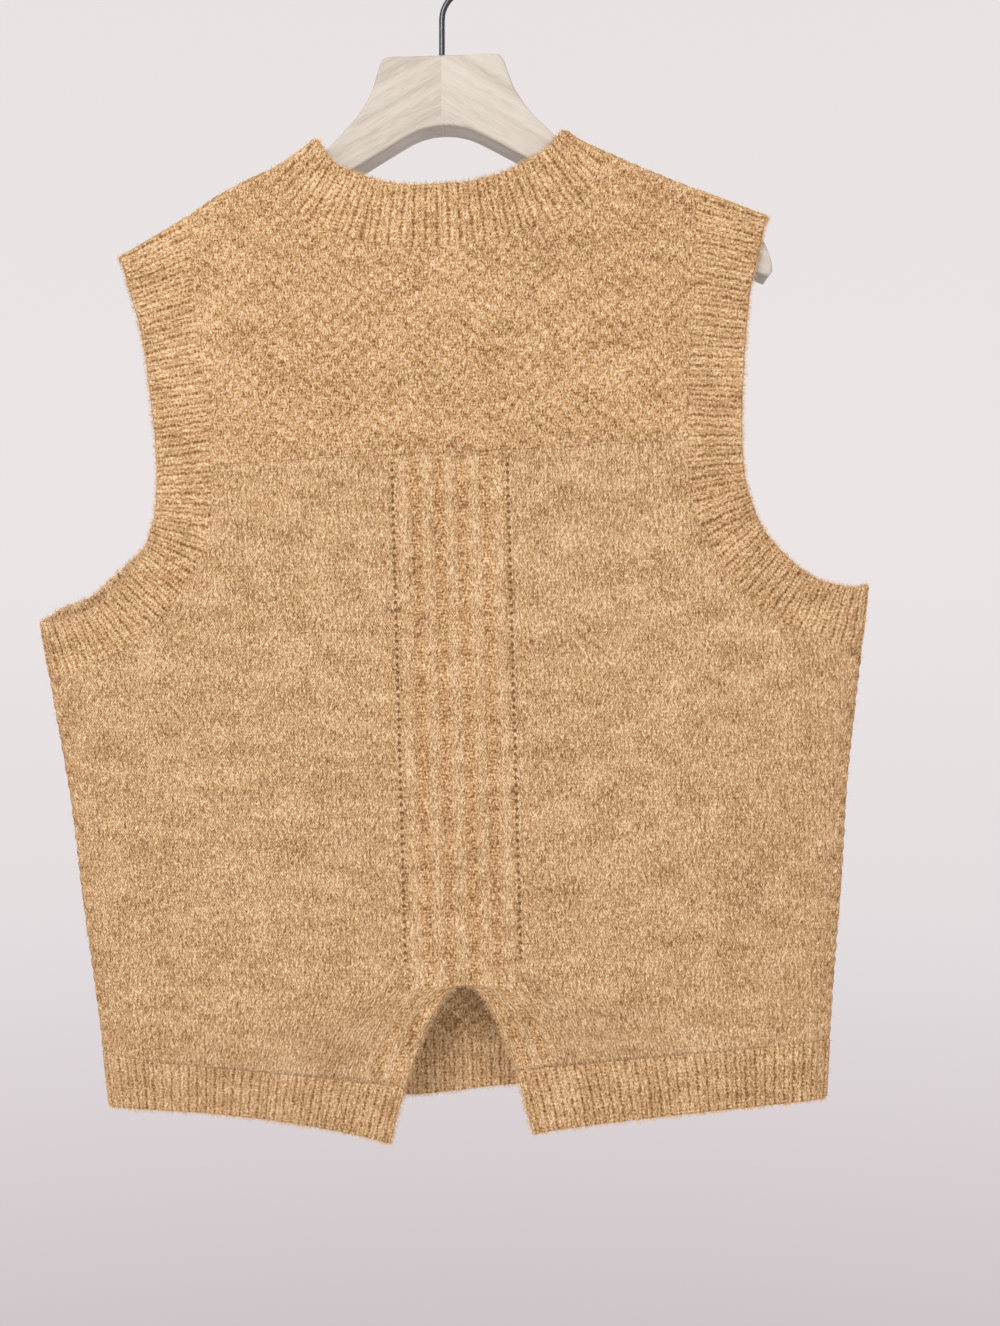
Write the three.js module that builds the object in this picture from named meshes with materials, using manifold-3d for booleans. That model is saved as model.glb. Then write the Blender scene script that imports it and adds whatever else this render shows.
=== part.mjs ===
// Knitted sweater vest hanging on a wooden hanger.
// Millimetres, +Z up. The shown side faces -Y and +X is to its right.
// The origin is the inside top of the hook, where a rail carries the hanger.
//
// The cloth is one flat-hanging tube. Every point of it has a pattern place: s runs along the cloth
// from the centre line (right positive), t runs up it, and side is -1 for the shown layer or +1 for
// the layer behind. Levels count down from the foot of the hook's free shank.
import * as THREE from 'three';
import { mergeVertices } from 'three/addons/utils/BufferGeometryUtils.js';
import Module from 'manifold-3d';

const wasm = await Module();
wasm.setup();

// Driving dimensions
const HOOK_DROP = 86;
const WALL = 2.4;
const RIB_RAISE = 1.0;
const HALF_GAP = 0.18;
const EDGE_ROLL = 2.2;
const RIDGE_DROP = 7;
const ROLL_LENGTH = 16.8;
const SIDE_WRAP = 9.5;
const FOLD_SHARPNESS = 12;

const NECK_CENTRE = { back: -120, front: -180 };
const VENT_TOP = -555;
const VENT_SPREAD = 4.4;
const VENT_LEAN = 0.036;
const CORNER_STEPS = 6;
const RIB_START = -244;
const UNDERARM = -366.6;

// Rib columns: two to a rib, counted round each half neck, each layer of an armhole and each hem
const NECK_COLUMNS = { back: 34, front: 44 };
const ARM_COLUMNS = 94;
const WRAP_COLUMNS = 4;
const HEM_COLUMNS = { left: 67, right: 59, front: 160 };
const STOP_SPACING = 5;
const NECK_SPACING = 4;
const ROLL_STOPS = [0, 2, 4, 6];

// Rows of a panel below the armhole and beside the vent, and how far its upper rows follow the armhole
const SIDE_ROWS = 9;
const LOW_ROWS = { back: 6, front: 3 };
const LEVEL_SHARE = 0.75;

// Half-width of the folded tube, its half-depth at the centre, and how much flatter its sides are
const BODY = [
  { level: -660, halfWidth: 212, depth: 16.0, taper: 0.32 },
  { level: -628, halfWidth: 214, depth: 16.0, taper: 0.32 },
  { level: -569, halfWidth: 219, depth: 16.0, taper: 0.32 },
  { level: -505, halfWidth: 226, depth: 15.8, taper: 0.31 },
  { level: -440, halfWidth: 232, depth: 15.5, taper: 0.30 },
  { level: -366, halfWidth: 242.5, depth: 15.0, taper: 0.28 },
  { level: -330, halfWidth: 247, depth: 14.6, taper: 0.24 },
  { level: -200, halfWidth: 247, depth: 13.8, taper: 0.15 },
  { level: -40, halfWidth: 247, depth: 13.6, taper: 0.12 },
];

// Top line of the shoulders, where the shown layer turns over to the layer behind
const RIDGE = [
  { across: -205, level: -117.8 },
  { across: -194.5, level: -112.4 },
  { across: -157, level: -92.8 },
  { across: -127, level: -75.5 },
  { across: -95, level: -62 },
  { across: -78, level: -51.3 },
  { across: -40, level: -24 },
  { across: 0, level: -14 },
  { across: 40, level: -26 },
  { across: 78, level: -57.9 },
  { across: 103, level: -71.7 },
  { across: 131, level: -85.5 },
  { across: 160.5, level: -98.8 },
  { across: 192.6, level: -113 },
  { across: 205, level: -118.5 },
];

// Armhole rungs from the shoulder ridge to the side fold: seam with the body, free edge
const ARMHOLE = [
  { seamAcross: 151, seamLevel: 0, edgeAcross: 194, edgeLevel: 0 },
  { seamAcross: 149, seamLevel: -122, edgeAcross: 184.7, edgeLevel: -140 },
  { seamAcross: 148, seamLevel: -150, edgeAcross: 178, edgeLevel: -169 },
  { seamAcross: 144, seamLevel: -193, edgeAcross: 175.5, edgeLevel: -200 },
  { seamAcross: 141.5, seamLevel: -232, edgeAcross: 173.2, edgeLevel: -235 },
  { seamAcross: 141.5, seamLevel: -265, edgeAcross: 174, edgeLevel: -262 },
  { seamAcross: 147, seamLevel: -293, edgeAcross: 178, edgeLevel: -280 },
  { seamAcross: 161.5, seamLevel: -318, edgeAcross: 185, edgeLevel: -296.5 },
  { seamAcross: 178, seamLevel: -338, edgeAcross: 199.7, edgeLevel: -314 },
  { seamAcross: 199.7, seamLevel: -352.6, edgeAcross: 216, edgeLevel: -326 },
  { seamAcross: 225.5, seamLevel: -362.6, edgeAcross: 235, edgeLevel: -331 },
  { seamAcross: 234, seamLevel: UNDERARM, edgeAcross: 241.5, edgeLevel: -331.2 },
  { seamAcross: 0, seamLevel: -365.2, edgeAcross: 0, edgeLevel: -330 },
];
const BEHIND_SEAM = { 10: -361, 11: -363.6 };
const FOLD_RUNG = ARMHOLE.length - 1;

// How far the layer behind stands out past the shown one low in each armhole
const ARMHOLE_PEEK = {
  left: { 6: 3, 7: 9, 8: 12, 9: 11, 10: 8.5, 11: 5 },
  right: { 7: 2, 8: 3, 9: 2 },
};

// Neck rungs from the centre line to the shoulder ridge, for the back and the front
const NECK = {
  back: [
    { seamAcross: 0, seamLevel: NECK_CENTRE.back, edgeAcross: 0, edgeLevel: -83 },
    { seamAcross: 21, seamLevel: -119, edgeAcross: 18, edgeLevel: -82.6 },
    { seamAcross: 43, seamLevel: -115, edgeAcross: 35, edgeLevel: -79.3 },
    { seamAcross: 69.5, seamLevel: -105.5, edgeAcross: 52, edgeLevel: -72.4 },
    { seamAcross: 88, seamLevel: -93.5, edgeAcross: 65, edgeLevel: -64.5 },
    { seamAcross: 99, seamLevel: 0, edgeAcross: 77.8, edgeLevel: 0 },
  ],
  front: [
    { seamAcross: 0, seamLevel: NECK_CENTRE.front, edgeAcross: 0, edgeLevel: -143 },
    { seamAcross: 30, seamLevel: -175, edgeAcross: 22, edgeLevel: -139 },
    { seamAcross: 62, seamLevel: -157, edgeAcross: 42, edgeLevel: -126 },
    { seamAcross: 84, seamLevel: -130, edgeAcross: 58, edgeLevel: -106 },
    { seamAcross: 95, seamLevel: -101, edgeAcross: 70, edgeLevel: -82 },
    { seamAcross: 99, seamLevel: 0, edgeAcross: 77.8, edgeLevel: 0 },
  ],
};
const RIDGE_RUNG = NECK.back.length - 1;

// Hem lines of the shown layer: level at the side, extra drop at the vent and how late it comes
const HEM = {
  left: { top: -596, topDrop: 19, bottom: -628, bottomDrop: 24.3, lateness: 2.1 },
  right: { top: -594, topDrop: 11, bottom: -628, bottomDrop: 15.3, lateness: 1.3 },
  front: { top: -594, bottom: -628, bottomRise: 2, ripple: 0.12, rippleWidth: 60 },
  span: 184,
  side: 212,
};

// Soft folds of the hanging cloth: centre, size and depth towards the viewer
const FOLDS = [
  { across: -150, level: -575, width: 120, height: 26, lean: 0.12, depth: -3.2 },
  { across: -170, level: -530, width: 90, height: 30, lean: 0.10, depth: 2.6 },
  { across: -80, level: -300, width: 70, height: 110, lean: -0.15, depth: -2.4 },
  { across: 75, level: -330, width: 55, height: 150, lean: 0.05, depth: 2.2 },
  { across: 190, level: -500, width: 50, height: 120, lean: 0.25, depth: 2.6 },
  { across: 150, level: -420, width: 26, height: 120, lean: -0.35, depth: -2.2 },
  { across: -195, level: -430, width: 26, height: 90, lean: 0.35, depth: 2.0 },
];
const FOLD_FADE = { from: -150, to: -230 };
const SIDE_CALM = 0.8;
const VENT_FLARE = { depth: 6, width: 55, height: 60, above: 20 };

// The hang of the cloth: it leans a little, more at the shoulders than at the hem
const LEAN = { centre: 0.5, drift: 13.1 / 472, neckLevel: -83, angle: 3.8, easing: 0.00617, from: -116 };

// Wood: upper and lower outline of the right half, from the centre seam to the tip
const WOOD_THICKNESS = 20;
const WOOD_EASING = 3.5;
const WOOD_TOP_SAMPLES = 30;
const WOOD_UNDER_SAMPLES = 18;
const WOOD_ROLL = 1.86;
const WOOD_SHOULDER = 129;
const LEFT_ARM_SHARE = 0.88;
const WOOD_TOP = [
  [32, -5.2], [36.4, -8.6], [38.8, -15.2], [42.5, -25.5], [50, -38], [59.8, -48.8],
  [69.7, -58.3], [80, -64.2], [95, -70.1], [112, -76.35], [129, -83.9], [145, -92.8], [160, -101.7],
  [178, -112.9], [186, -119], [189.6, -126.5], [191.8, -134], [192.2, -139.5],
];
const WOOD_UNDER = [
  [189.5, -143], [178, -138], [160, -129], [130, -112.5], [100, -95.6], [75, -82.4],
  [51, -69.5], [34, -59.7], [18, -51], [7.5, -47.9], [0, -47.3],
];

// Tools that part and bore the wood
const CUTTER = 400;
const BORE_LENGTH = 60;
const BORE_SIDES = 16;

// Hook: round wire bent to a circle that sits centred over its shank
const WIRE_RADIUS = 1.8;
const HOOK_INNER_RADIUS = 24;
const HOOK_SIDES = 5;
const HOOK_STEPS = 40;
const SHANK_SINK = 30;
const BORE_CLEARANCE = 0.35;
const HOOK_JOIN_ANGLE = -48;
const HOOK_END_ANGLE = 196;
const HOOK_BEND = { length: 24, pull: 11, straight: 28 };
const HOOK_SPACING = 12;

// Small helpers
const mix = (from, to, u) => from + (to - from) * u;
const clamp01 = (u) => Math.min(1, Math.max(0, u));
const ease = (u) => clamp01(u) * clamp01(u) * (3 - 2 * clamp01(u));
const radians = (degrees) => (degrees * Math.PI) / 180;
const sideName = (hand) => (hand < 0 ? 'left' : 'right');

// Smooth curve through one column of a table
function curve(xs, ys) {
  const last = xs.length - 1;
  const slope = (i) => {
    const before = Math.max(i - 1, 0);
    const after = Math.min(i + 1, last);
    return (ys[after] - ys[before]) / (xs[after] - xs[before]);
  };
  return (x) => {
    if (x <= xs[0]) return ys[0];
    if (x >= xs[last]) return ys[last];
    let i = 0;
    while (x > xs[i + 1]) i += 1;
    const span = xs[i + 1] - xs[i];
    const u = (x - xs[i]) / span;
    return hermite(ys[i], ys[i + 1], slope(i) * span, slope(i + 1) * span, u);
  };
}

function hermite(y0, y1, m0, m1, u) {
  const u2 = u * u;
  const u3 = u2 * u;
  return (2 * u3 - 3 * u2 + 1) * y0 + (u3 - 2 * u2 + u) * m0 + (3 * u2 - 2 * u3) * y1 + (u3 - u2) * m1;
}

const column = (rows, key, name) => curve(rows.map((row) => row[key]), rows.map((row) => row[name]));
const halfWidthAt = column(BODY, 'level', 'halfWidth');
const depthAt = column(BODY, 'level', 'depth');
const taperAt = column(BODY, 'level', 'taper');
const ridgeAt = column(RIDGE, 'across', 'level');

// Half-depth of the flattened tube at a fraction of its half-width
function layerDepth(level, fraction) {
  const rounding = Math.sqrt(Math.max(0, 1 - fraction ** FOLD_SHARPNESS));
  return depthAt(level) * (1 - taperAt(level) * fraction * fraction) * rounding;
}

// Length along the cloth from the centre line to the side fold, in equal turns of an angle
const SECTION_STEPS = 72;
const LENGTH_SAMPLES = 240;
const HALVINGS = 40;
const NORMAL_STEP = 0.4;
const LOWEST = BODY[0].level;
const sections = new Map();
function sectionAt(level) {
  const key = level.toFixed(3);
  if (sections.has(key)) return sections.get(key);
  const halfWidth = halfWidthAt(level);
  const lengths = [0];
  const fractions = [0];
  let before = [0, layerDepth(level, 0)];
  for (let i = 1; i <= SECTION_STEPS; i += 1) {
    const fraction = Math.sin((Math.PI / 2) * (i / SECTION_STEPS));
    const here = [fraction * halfWidth, layerDepth(level, fraction)];
    lengths.push(lengths[i - 1] + Math.hypot(here[0] - before[0], here[1] - before[1]));
    fractions.push(fraction);
    before = here;
  }
  const section = { halfWidth, lengths, fractions, total: lengths[SECTION_STEPS] };
  sections.set(key, section);
  return section;
}

function lookUp(xs, ys, x) {
  let low = 0;
  let high = xs.length - 1;
  while (high - low > 1) {
    const middle = (low + high) >> 1;
    if (xs[middle] > x) high = middle;
    else low = middle;
  }
  return mix(ys[low], ys[high], clamp01((x - xs[low]) / (xs[high] - xs[low])));
}

const reachOf = (level) => sectionAt(level).total;
function alongOf(across, level) {
  const section = sectionAt(level);
  return Math.sign(across) * lookUp(section.fractions, section.lengths, Math.abs(across) / section.halfWidth);
}

// Pattern height of the shoulder ridge itself
const ridgeTop = (across) => ridgeAt(across) + ROLL_LENGTH - RIDGE_DROP;

// How far the folds and the vent's corners move the cloth along Y
function foldShift(side, across, level) {
  let shift = 0;
  for (const fold of FOLDS) {
    const x = (across - fold.across) / fold.width;
    const z = (level - fold.level - fold.lean * (across - fold.across)) / fold.height;
    shift += fold.depth * Math.exp(-x * x - z * z);
  }
  shift *= ease((level - FOLD_FADE.from) / (FOLD_FADE.to - FOLD_FADE.from));
  shift *= 1 - ease((Math.abs(across) / halfWidthAt(level) - SIDE_CALM) / (1 - SIDE_CALM));
  if (side < 0) {
    const x = across / VENT_FLARE.width;
    const fallen = ease((VENT_TOP + VENT_FLARE.above - level) / VENT_FLARE.height);
    shift -= VENT_FLARE.depth * Math.exp(-x * x) * fallen;
  }
  return shift;
}

// Place in space of a pattern point on the middle of the wall
function clothPoint(side, s, t) {
  const section = sectionAt(Math.max(t, LOWEST));
  const hand = s < 0 ? -1 : 1;
  let along = Math.abs(s);
  let layer = side;
  if (along > section.total) {
    along = 2 * section.total - along;
    layer = -layer;
  }
  const fraction = lookUp(section.lengths, section.fractions, along);
  const across = hand * fraction * section.halfWidth;
  let down = ridgeTop(across) - t;
  if (down < 0) {
    down = -down;
    layer = -layer;
  }
  const turn = Math.min(1, down / ROLL_LENGTH) * (Math.PI / 2);
  const level = ridgeAt(across) - RIDGE_DROP * (1 - Math.cos(turn)) - Math.max(0, down - ROLL_LENGTH);
  const y = layer * layerDepth(level, fraction) * Math.sin(turn) + foldShift(layer, across, level);
  const angle = radians(LEAN.angle - LEAN.easing * (LEAN.from - level));
  const x = LEAN.centre + (LEAN.neckLevel - level) * LEAN.drift + across * Math.cos(angle);
  return new THREE.Vector3(x, y, level + across * Math.sin(angle) - HOOK_DROP);
}

// Both faces of the wall at a pattern point, the outer one raised for a rib
function wallPoint(side, s, t, raise = 0) {
  const middle = clothPoint(side, s, t);
  const along = clothPoint(side, s + NORMAL_STEP, t).sub(clothPoint(side, s - NORMAL_STEP, t));
  const up = clothPoint(side, s, t + NORMAL_STEP).sub(clothPoint(side, s, t - NORMAL_STEP));
  const normal = along.cross(up).multiplyScalar(-side).normalize();
  return {
    outer: middle.clone().addScaledVector(normal, WALL / 2 + raise),
    inner: middle.clone().addScaledVector(normal, -WALL / 2),
  };
}

// Closed skin made of strips zipped between two lines of keyed points, along the shorter diagonals
class Skin {
  constructor() {
    this.triangles = [];
  }

  triangle(a, b, c, flip) {
    if (flip) this.triangles.push(a, c, b);
    else this.triangles.push(a, b, c);
  }

  zip(first, second, flip) {
    let i = 0;
    let j = 0;
    while (i < first.length - 1 || j < second.length - 1) {
      const nextFirst = i < first.length - 1 ? first[i + 1].key : Infinity;
      const nextSecond = j < second.length - 1 ? second[j + 1].key : Infinity;
      let stepFirst = nextFirst < nextSecond;
      if (nextFirst === nextSecond) {
        const cross = first[i + 1].point.distanceTo(second[j].point);
        stepFirst = cross <= first[i].point.distanceTo(second[j + 1].point);
      }
      if (stepFirst) {
        this.triangle(first[i].point, first[i + 1].point, second[j].point, flip);
        i += 1;
      } else {
        this.triangle(first[i].point, second[j + 1].point, second[j].point, flip);
        j += 1;
      }
    }
  }

  geometry() {
    const flat = new Float32Array(this.triangles.length * 3);
    this.triangles.forEach((point, i) => point.toArray(flat, i * 3));
    let shape = new THREE.BufferGeometry();
    shape.setAttribute('position', new THREE.BufferAttribute(flat, 3));
    shape = mergeVertices(shape, 1e-3);
    shape.setIndex(wholeTriangles(shape.index.array));
    if (signedVolume(shape) < 0) shape.setIndex(turned(shape.index.array));
    shape.computeVertexNormals();
    return shape;
  }
}

function wholeTriangles(index) {
  const kept = [];
  for (let i = 0; i < index.length; i += 3) {
    const [a, b, c] = [index[i], index[i + 1], index[i + 2]];
    if (a !== b && b !== c && c !== a) kept.push(a, b, c);
  }
  return kept;
}

function turned(index) {
  const kept = [];
  for (let i = 0; i < index.length; i += 3) kept.push(index[i], index[i + 2], index[i + 1]);
  return kept;
}

function signedVolume(shape) {
  const place = shape.attributes.position;
  const index = shape.index.array;
  const corner = [0, 1, 2].map(() => new THREE.Vector3());
  let total = 0;
  for (let i = 0; i < index.length; i += 3) {
    corner.forEach((point, k) => point.fromBufferAttribute(place, index[i + k]));
    total += corner[0].dot(corner[1].clone().cross(corner[2])) / 6;
  }
  return total;
}

// Rungs between the seam and the free edge of one band, as pattern places
function rungLines(table, hand, endsOnFold, longer = {}, seamLevels = {}) {
  const rows = table.map((row, i) => ({ ...row, seamLevel: seamLevels[i] ?? row.seamLevel }));
  const places = rows.map((row, i) => {
    const ends = {};
    for (const end of ['seam', 'edge']) {
      let across = hand * row[`${end}Across`];
      let level = row[`${end}Level`];
      if (endsOnFold && i === rows.length - 1) {
        ends[end] = [hand * reachOf(level), level];
      } else {
        if (level === 0) level = ridgeTop(across);
        ends[end] = [across === 0 ? 0 : alongOf(across, level), level];
      }
    }
    const length = Math.hypot(ends.edge[0] - ends.seam[0], ends.edge[1] - ends.seam[1]);
    const stretched = 1 + (longer[i] ?? 0) / length;
    ends.edge = [0, 1].map((k) => mix(ends.seam[k], ends.edge[k], stretched));
    return ends;
  });
  const steps = rows.map((row, i) => i);
  const line = (end) => {
    const parts = [0, 1].map((k) => curve(steps, places.map((ends) => ends[end][k])));
    return (g) => parts.map((part) => part(g));
  };
  const seam = line('seam');
  const edge = line('edge');
  return (g, w) => {
    const [from, to] = [seam(g), edge(g)];
    return [mix(from[0], to[0], w), mix(from[1], to[1], w)];
  };
}

// The same rung place, a distance in millimetres from the seam towards the free edge
function rungFromSeam(rung, g, distance) {
  const [from, to] = [rung(g, 0), rung(g, 1)];
  const w = distance / Math.hypot(to[0] - from[0], to[1] - from[1]);
  return rung(g, w);
}

function rungFromEdge(rung, g, distance) {
  const [from, to] = [rung(g, 0), rung(g, 1)];
  const w = distance / Math.hypot(to[0] - from[0], to[1] - from[1]);
  return rung(g, 1 - w);
}

// Rung numbers that cut the band's middle line into columns of equal length
function spreadColumns(rung, side, from, to, count) {
  const lengths = [0];
  const numbers = [from];
  let before = clothPoint(side, ...rung(from, 0.5));
  for (let i = 1; i <= LENGTH_SAMPLES; i += 1) {
    const g = mix(from, to, i / LENGTH_SAMPLES);
    const here = clothPoint(side, ...rung(g, 0.5));
    lengths.push(lengths[i - 1] + here.distanceTo(before));
    numbers.push(g);
    before = here;
  }
  const total = lengths[LENGTH_SAMPLES];
  return Array.from({ length: count + 1 }, (_, i) => lookUp(lengths, numbers, (total * i) / count));
}

// Column numbers where a band and its panel share a point: close together on the shoulder's roll
function seamStops(count, spacing) {
  const rest = count - ROLL_STOPS.at(-1);
  const parts = Math.round(rest / spacing);
  const evenly = Array.from({ length: parts }, (_, i) => Math.round((rest * (i + 1)) / parts));
  return [...ROLL_STOPS, ...evenly.map((i) => ROLL_STOPS.at(-1) + i)];
}

// The four stretches of an armhole and the two quarters of a neck, on one hand
function armhole(hand) {
  const near = rungLines(ARMHOLE, hand, true);
  const far = rungLines(ARMHOLE, hand, true, ARMHOLE_PEEK[sideName(hand)], BEHIND_SEAM);
  let low = FOLD_RUNG - 1;
  let high = FOLD_RUNG;
  for (let i = 0; i < HALVINGS; i += 1) {
    const middle = (low + high) / 2;
    const [s, t] = near(middle, 0);
    if (Math.abs(s) < reachOf(t) - SIDE_WRAP) low = middle;
    else high = middle;
  }
  const stops = seamStops(ARM_COLUMNS, STOP_SPACING);
  return {
    near,
    far,
    corner: low,
    stops,
    nearColumns: spreadColumns(near, -1, 0, low, ARM_COLUMNS),
    nearWrap: spreadColumns(near, -1, low, FOLD_RUNG, WRAP_COLUMNS),
    farColumns: spreadColumns(far, 1, 0, low, ARM_COLUMNS),
    farWrap: spreadColumns(far, 1, low, FOLD_RUNG, WRAP_COLUMNS),
  };
}

function neckQuarter(hand, name) {
  const side = name === 'back' ? -1 : 1;
  const rung = rungLines(NECK[name], hand, false);
  const count = NECK_COLUMNS[name];
  return {
    side,
    rung,
    count,
    stops: seamStops(count, NECK_SPACING),
    columns: spreadColumns(rung, side, RIDGE_RUNG, 0, count),
  };
}

const armholes = { left: armhole(-1), right: armhole(1) };
const necks = {
  back: { left: neckQuarter(-1, 'back'), right: neckQuarter(1, 'back') },
  front: { left: neckQuarter(-1, 'front'), right: neckQuarter(1, 'front') },
};

// A band closed round its opening: ribs run from the seam to the free edge
function ringBand(columns) {
  const skin = new Skin();
  const count = columns.length;
  const lines = { seam: [], first: [], last: [], edge: [], seamInner: [], edgeInner: [] };
  for (let i = 0; i <= count; i += 1) {
    const { side, rung, g, stop } = columns[i % count];
    const raise = i % 2 === 0 ? RIB_RAISE : 0;
    lines.first.push({ key: i, point: wallPoint(side, ...rungFromSeam(rung, g, EDGE_ROLL), raise).outer });
    lines.last.push({ key: i, point: wallPoint(side, ...rungFromEdge(rung, g, EDGE_ROLL), raise).outer });
    if (stop) {
      const seam = wallPoint(side, ...rungFromSeam(rung, g, HALF_GAP));
      const edge = wallPoint(side, ...rung(g, 1));
      lines.seam.push({ key: i, point: seam.outer });
      lines.seamInner.push({ key: i, point: seam.inner });
      lines.edge.push({ key: i, point: edge.outer });
      lines.edgeInner.push({ key: i, point: edge.inner });
    }
  }
  skin.zip(lines.seam, lines.first);
  skin.zip(lines.first, lines.last);
  skin.zip(lines.last, lines.edge);
  skin.zip(lines.edge, lines.edgeInner);
  skin.zip(lines.edgeInner, lines.seamInner);
  skin.zip(lines.seamInner, lines.seam);
  return skin.geometry();
}

// Columns of one stretch of a band, without the last one, which the next stretch begins with
function stretch(side, rung, numbers, stops, reversed) {
  const last = numbers.length - 1;
  const found = numbers.map((g, i) => ({ side, rung, g, stop: !stops || stops.includes(i) }));
  if (reversed) found.reverse();
  return found.slice(0, last);
}

function armband(hand) {
  const a = armholes[sideName(hand)];
  return ringBand([
    ...stretch(-1, a.near, a.nearColumns, a.stops, false),
    ...stretch(-1, a.near, a.nearWrap, null, false),
    ...stretch(1, a.far, a.farWrap, null, true),
    ...stretch(1, a.far, a.farColumns, a.stops, true),
  ]);
}

function neckband() {
  const quarter = (name, hand, reversed) => {
    const q = necks[name][sideName(hand)];
    return stretch(q.side, q.rung, q.columns, q.stops, reversed);
  };
  return ringBand([
    ...quarter('back', -1, false),
    ...quarter('back', 1, true),
    ...quarter('front', 1, false),
    ...quarter('front', -1, true),
  ]);
}

// Hem lines as levels across the cloth
function hemLevels(side, hand, across) {
  if (side > 0) {
    const front = HEM.front;
    const middle = 1 - ease(Math.abs(across) / HEM.side);
    const x = across / front.rippleWidth;
    const ripple = front.ripple * across * Math.exp(-x * x);
    return [front.top, front.bottom + front.bottomRise * middle + ripple];
  }
  const lines = HEM[sideName(hand)];
  const near = clamp01((HEM.side - Math.abs(across)) / HEM.span);
  return [lines.top - lines.topDrop * near, lines.bottom - lines.bottomDrop * near ** lines.lateness];
}

// The vent's edge at a level: an arch that leans a little to the left as it opens
function ventEdge(hand, level) {
  const below = Math.max(0, VENT_TOP - level);
  return hand * VENT_SPREAD * Math.sqrt(below) - VENT_LEAN * below;
}

// Where the vent's edge meets the hem's top line (0) or its bottom line (1)
function ventCorner(hand, line) {
  let level = HEM.front.top;
  for (let i = 0; i < CORNER_STEPS; i += 1) level = hemLevels(-1, hand, ventEdge(hand, level))[line];
  return level;
}

// A ribbed hem strip with columns from one end to the other
function hemStrip(side, start, end, count, closeStops) {
  const skin = new Skin();
  const lines = { top: [], first: [], last: [], bottom: [], topInner: [], bottomInner: [] };
  const place = (u, w) => {
    const [from, to] = [start(w), end(w)];
    const s = mix(from, to, u);
    const hand = s < 0 ? -1 : 1;
    const across = Math.min(Math.abs(s), HEM.side) * hand;
    const [top, bottom] = hemLevels(side, hand, across);
    return [s, mix(top - HALF_GAP, bottom, w)];
  };
  const rollPart = EDGE_ROLL / (HEM.front.top - HEM.front.bottom);
  for (let i = 0; i <= count; i += 1) {
    const u = i / count;
    const stop = i % STOP_SPACING === 0 || i === count || closeStops(place(u, 0)[0]);
    const raise = i % 2 === 0 ? RIB_RAISE : 0;
    const keyed = (w, face, lift = 0) => ({ key: i, point: wallPoint(side, ...place(u, w), lift)[face] });
    lines.first.push(keyed(rollPart, 'outer', raise));
    lines.last.push(keyed(1 - rollPart, 'outer', raise));
    if (stop) {
      lines.top.push(keyed(0, 'outer'));
      lines.bottom.push(keyed(1, 'outer'));
      lines.topInner.push(keyed(0, 'inner'));
      lines.bottomInner.push(keyed(1, 'inner'));
    }
  }
  skin.zip(lines.top, lines.first);
  skin.zip(lines.first, lines.last);
  skin.zip(lines.last, lines.bottom);
  skin.zip(lines.bottom, lines.bottomInner);
  skin.zip(lines.bottomInner, lines.topInner);
  skin.zip(lines.topInner, lines.top);
  for (const last of [false, true]) {
    const pick = (line) => line[last ? line.length - 1 : 0].point;
    const outer = ['top', 'first', 'last', 'bottom'].map((name, i) => ({ key: i, point: pick(lines[name]) }));
    const inner = ['topInner', 'bottomInner'].map((name, i) => ({ key: i * 3, point: pick(lines[name]) }));
    if (last) skin.zip(inner, outer);
    else skin.zip(outer, inner);
  }
  return skin.geometry();
}

// Where a hem strip ends, as pattern places at the hem's top (w 0) and bottom (w 1)
function hemEndAtSeam(side, hand) {
  const wrap = side < 0 ? -SIDE_WRAP : SIDE_WRAP;
  return (w) => {
    const level = mix(HEM.front.top, HEM.front.bottom, w);
    return hand * (reachOf(level) + wrap - HALF_GAP);
  };
}

function hemEndAtVent(hand) {
  const [top, bottom] = [ventCorner(hand, 0), ventCorner(hand, 1)];
  return (w) => ventEdge(hand, mix(top, bottom, w));
}

function hemBack(hand) {
  return hemStrip(-1, hemEndAtVent(hand), hemEndAtSeam(-1, hand), HEM_COLUMNS[sideName(hand)], () => false);
}

function hemFront() {
  const nearFold = (s) => Math.abs(s) > reachOf(HEM.front.top) - SIDE_WRAP - WALL;
  return hemStrip(1, hemEndAtSeam(1, -1), hemEndAtSeam(1, 1), HEM_COLUMNS.front, nearFold);
}

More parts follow.
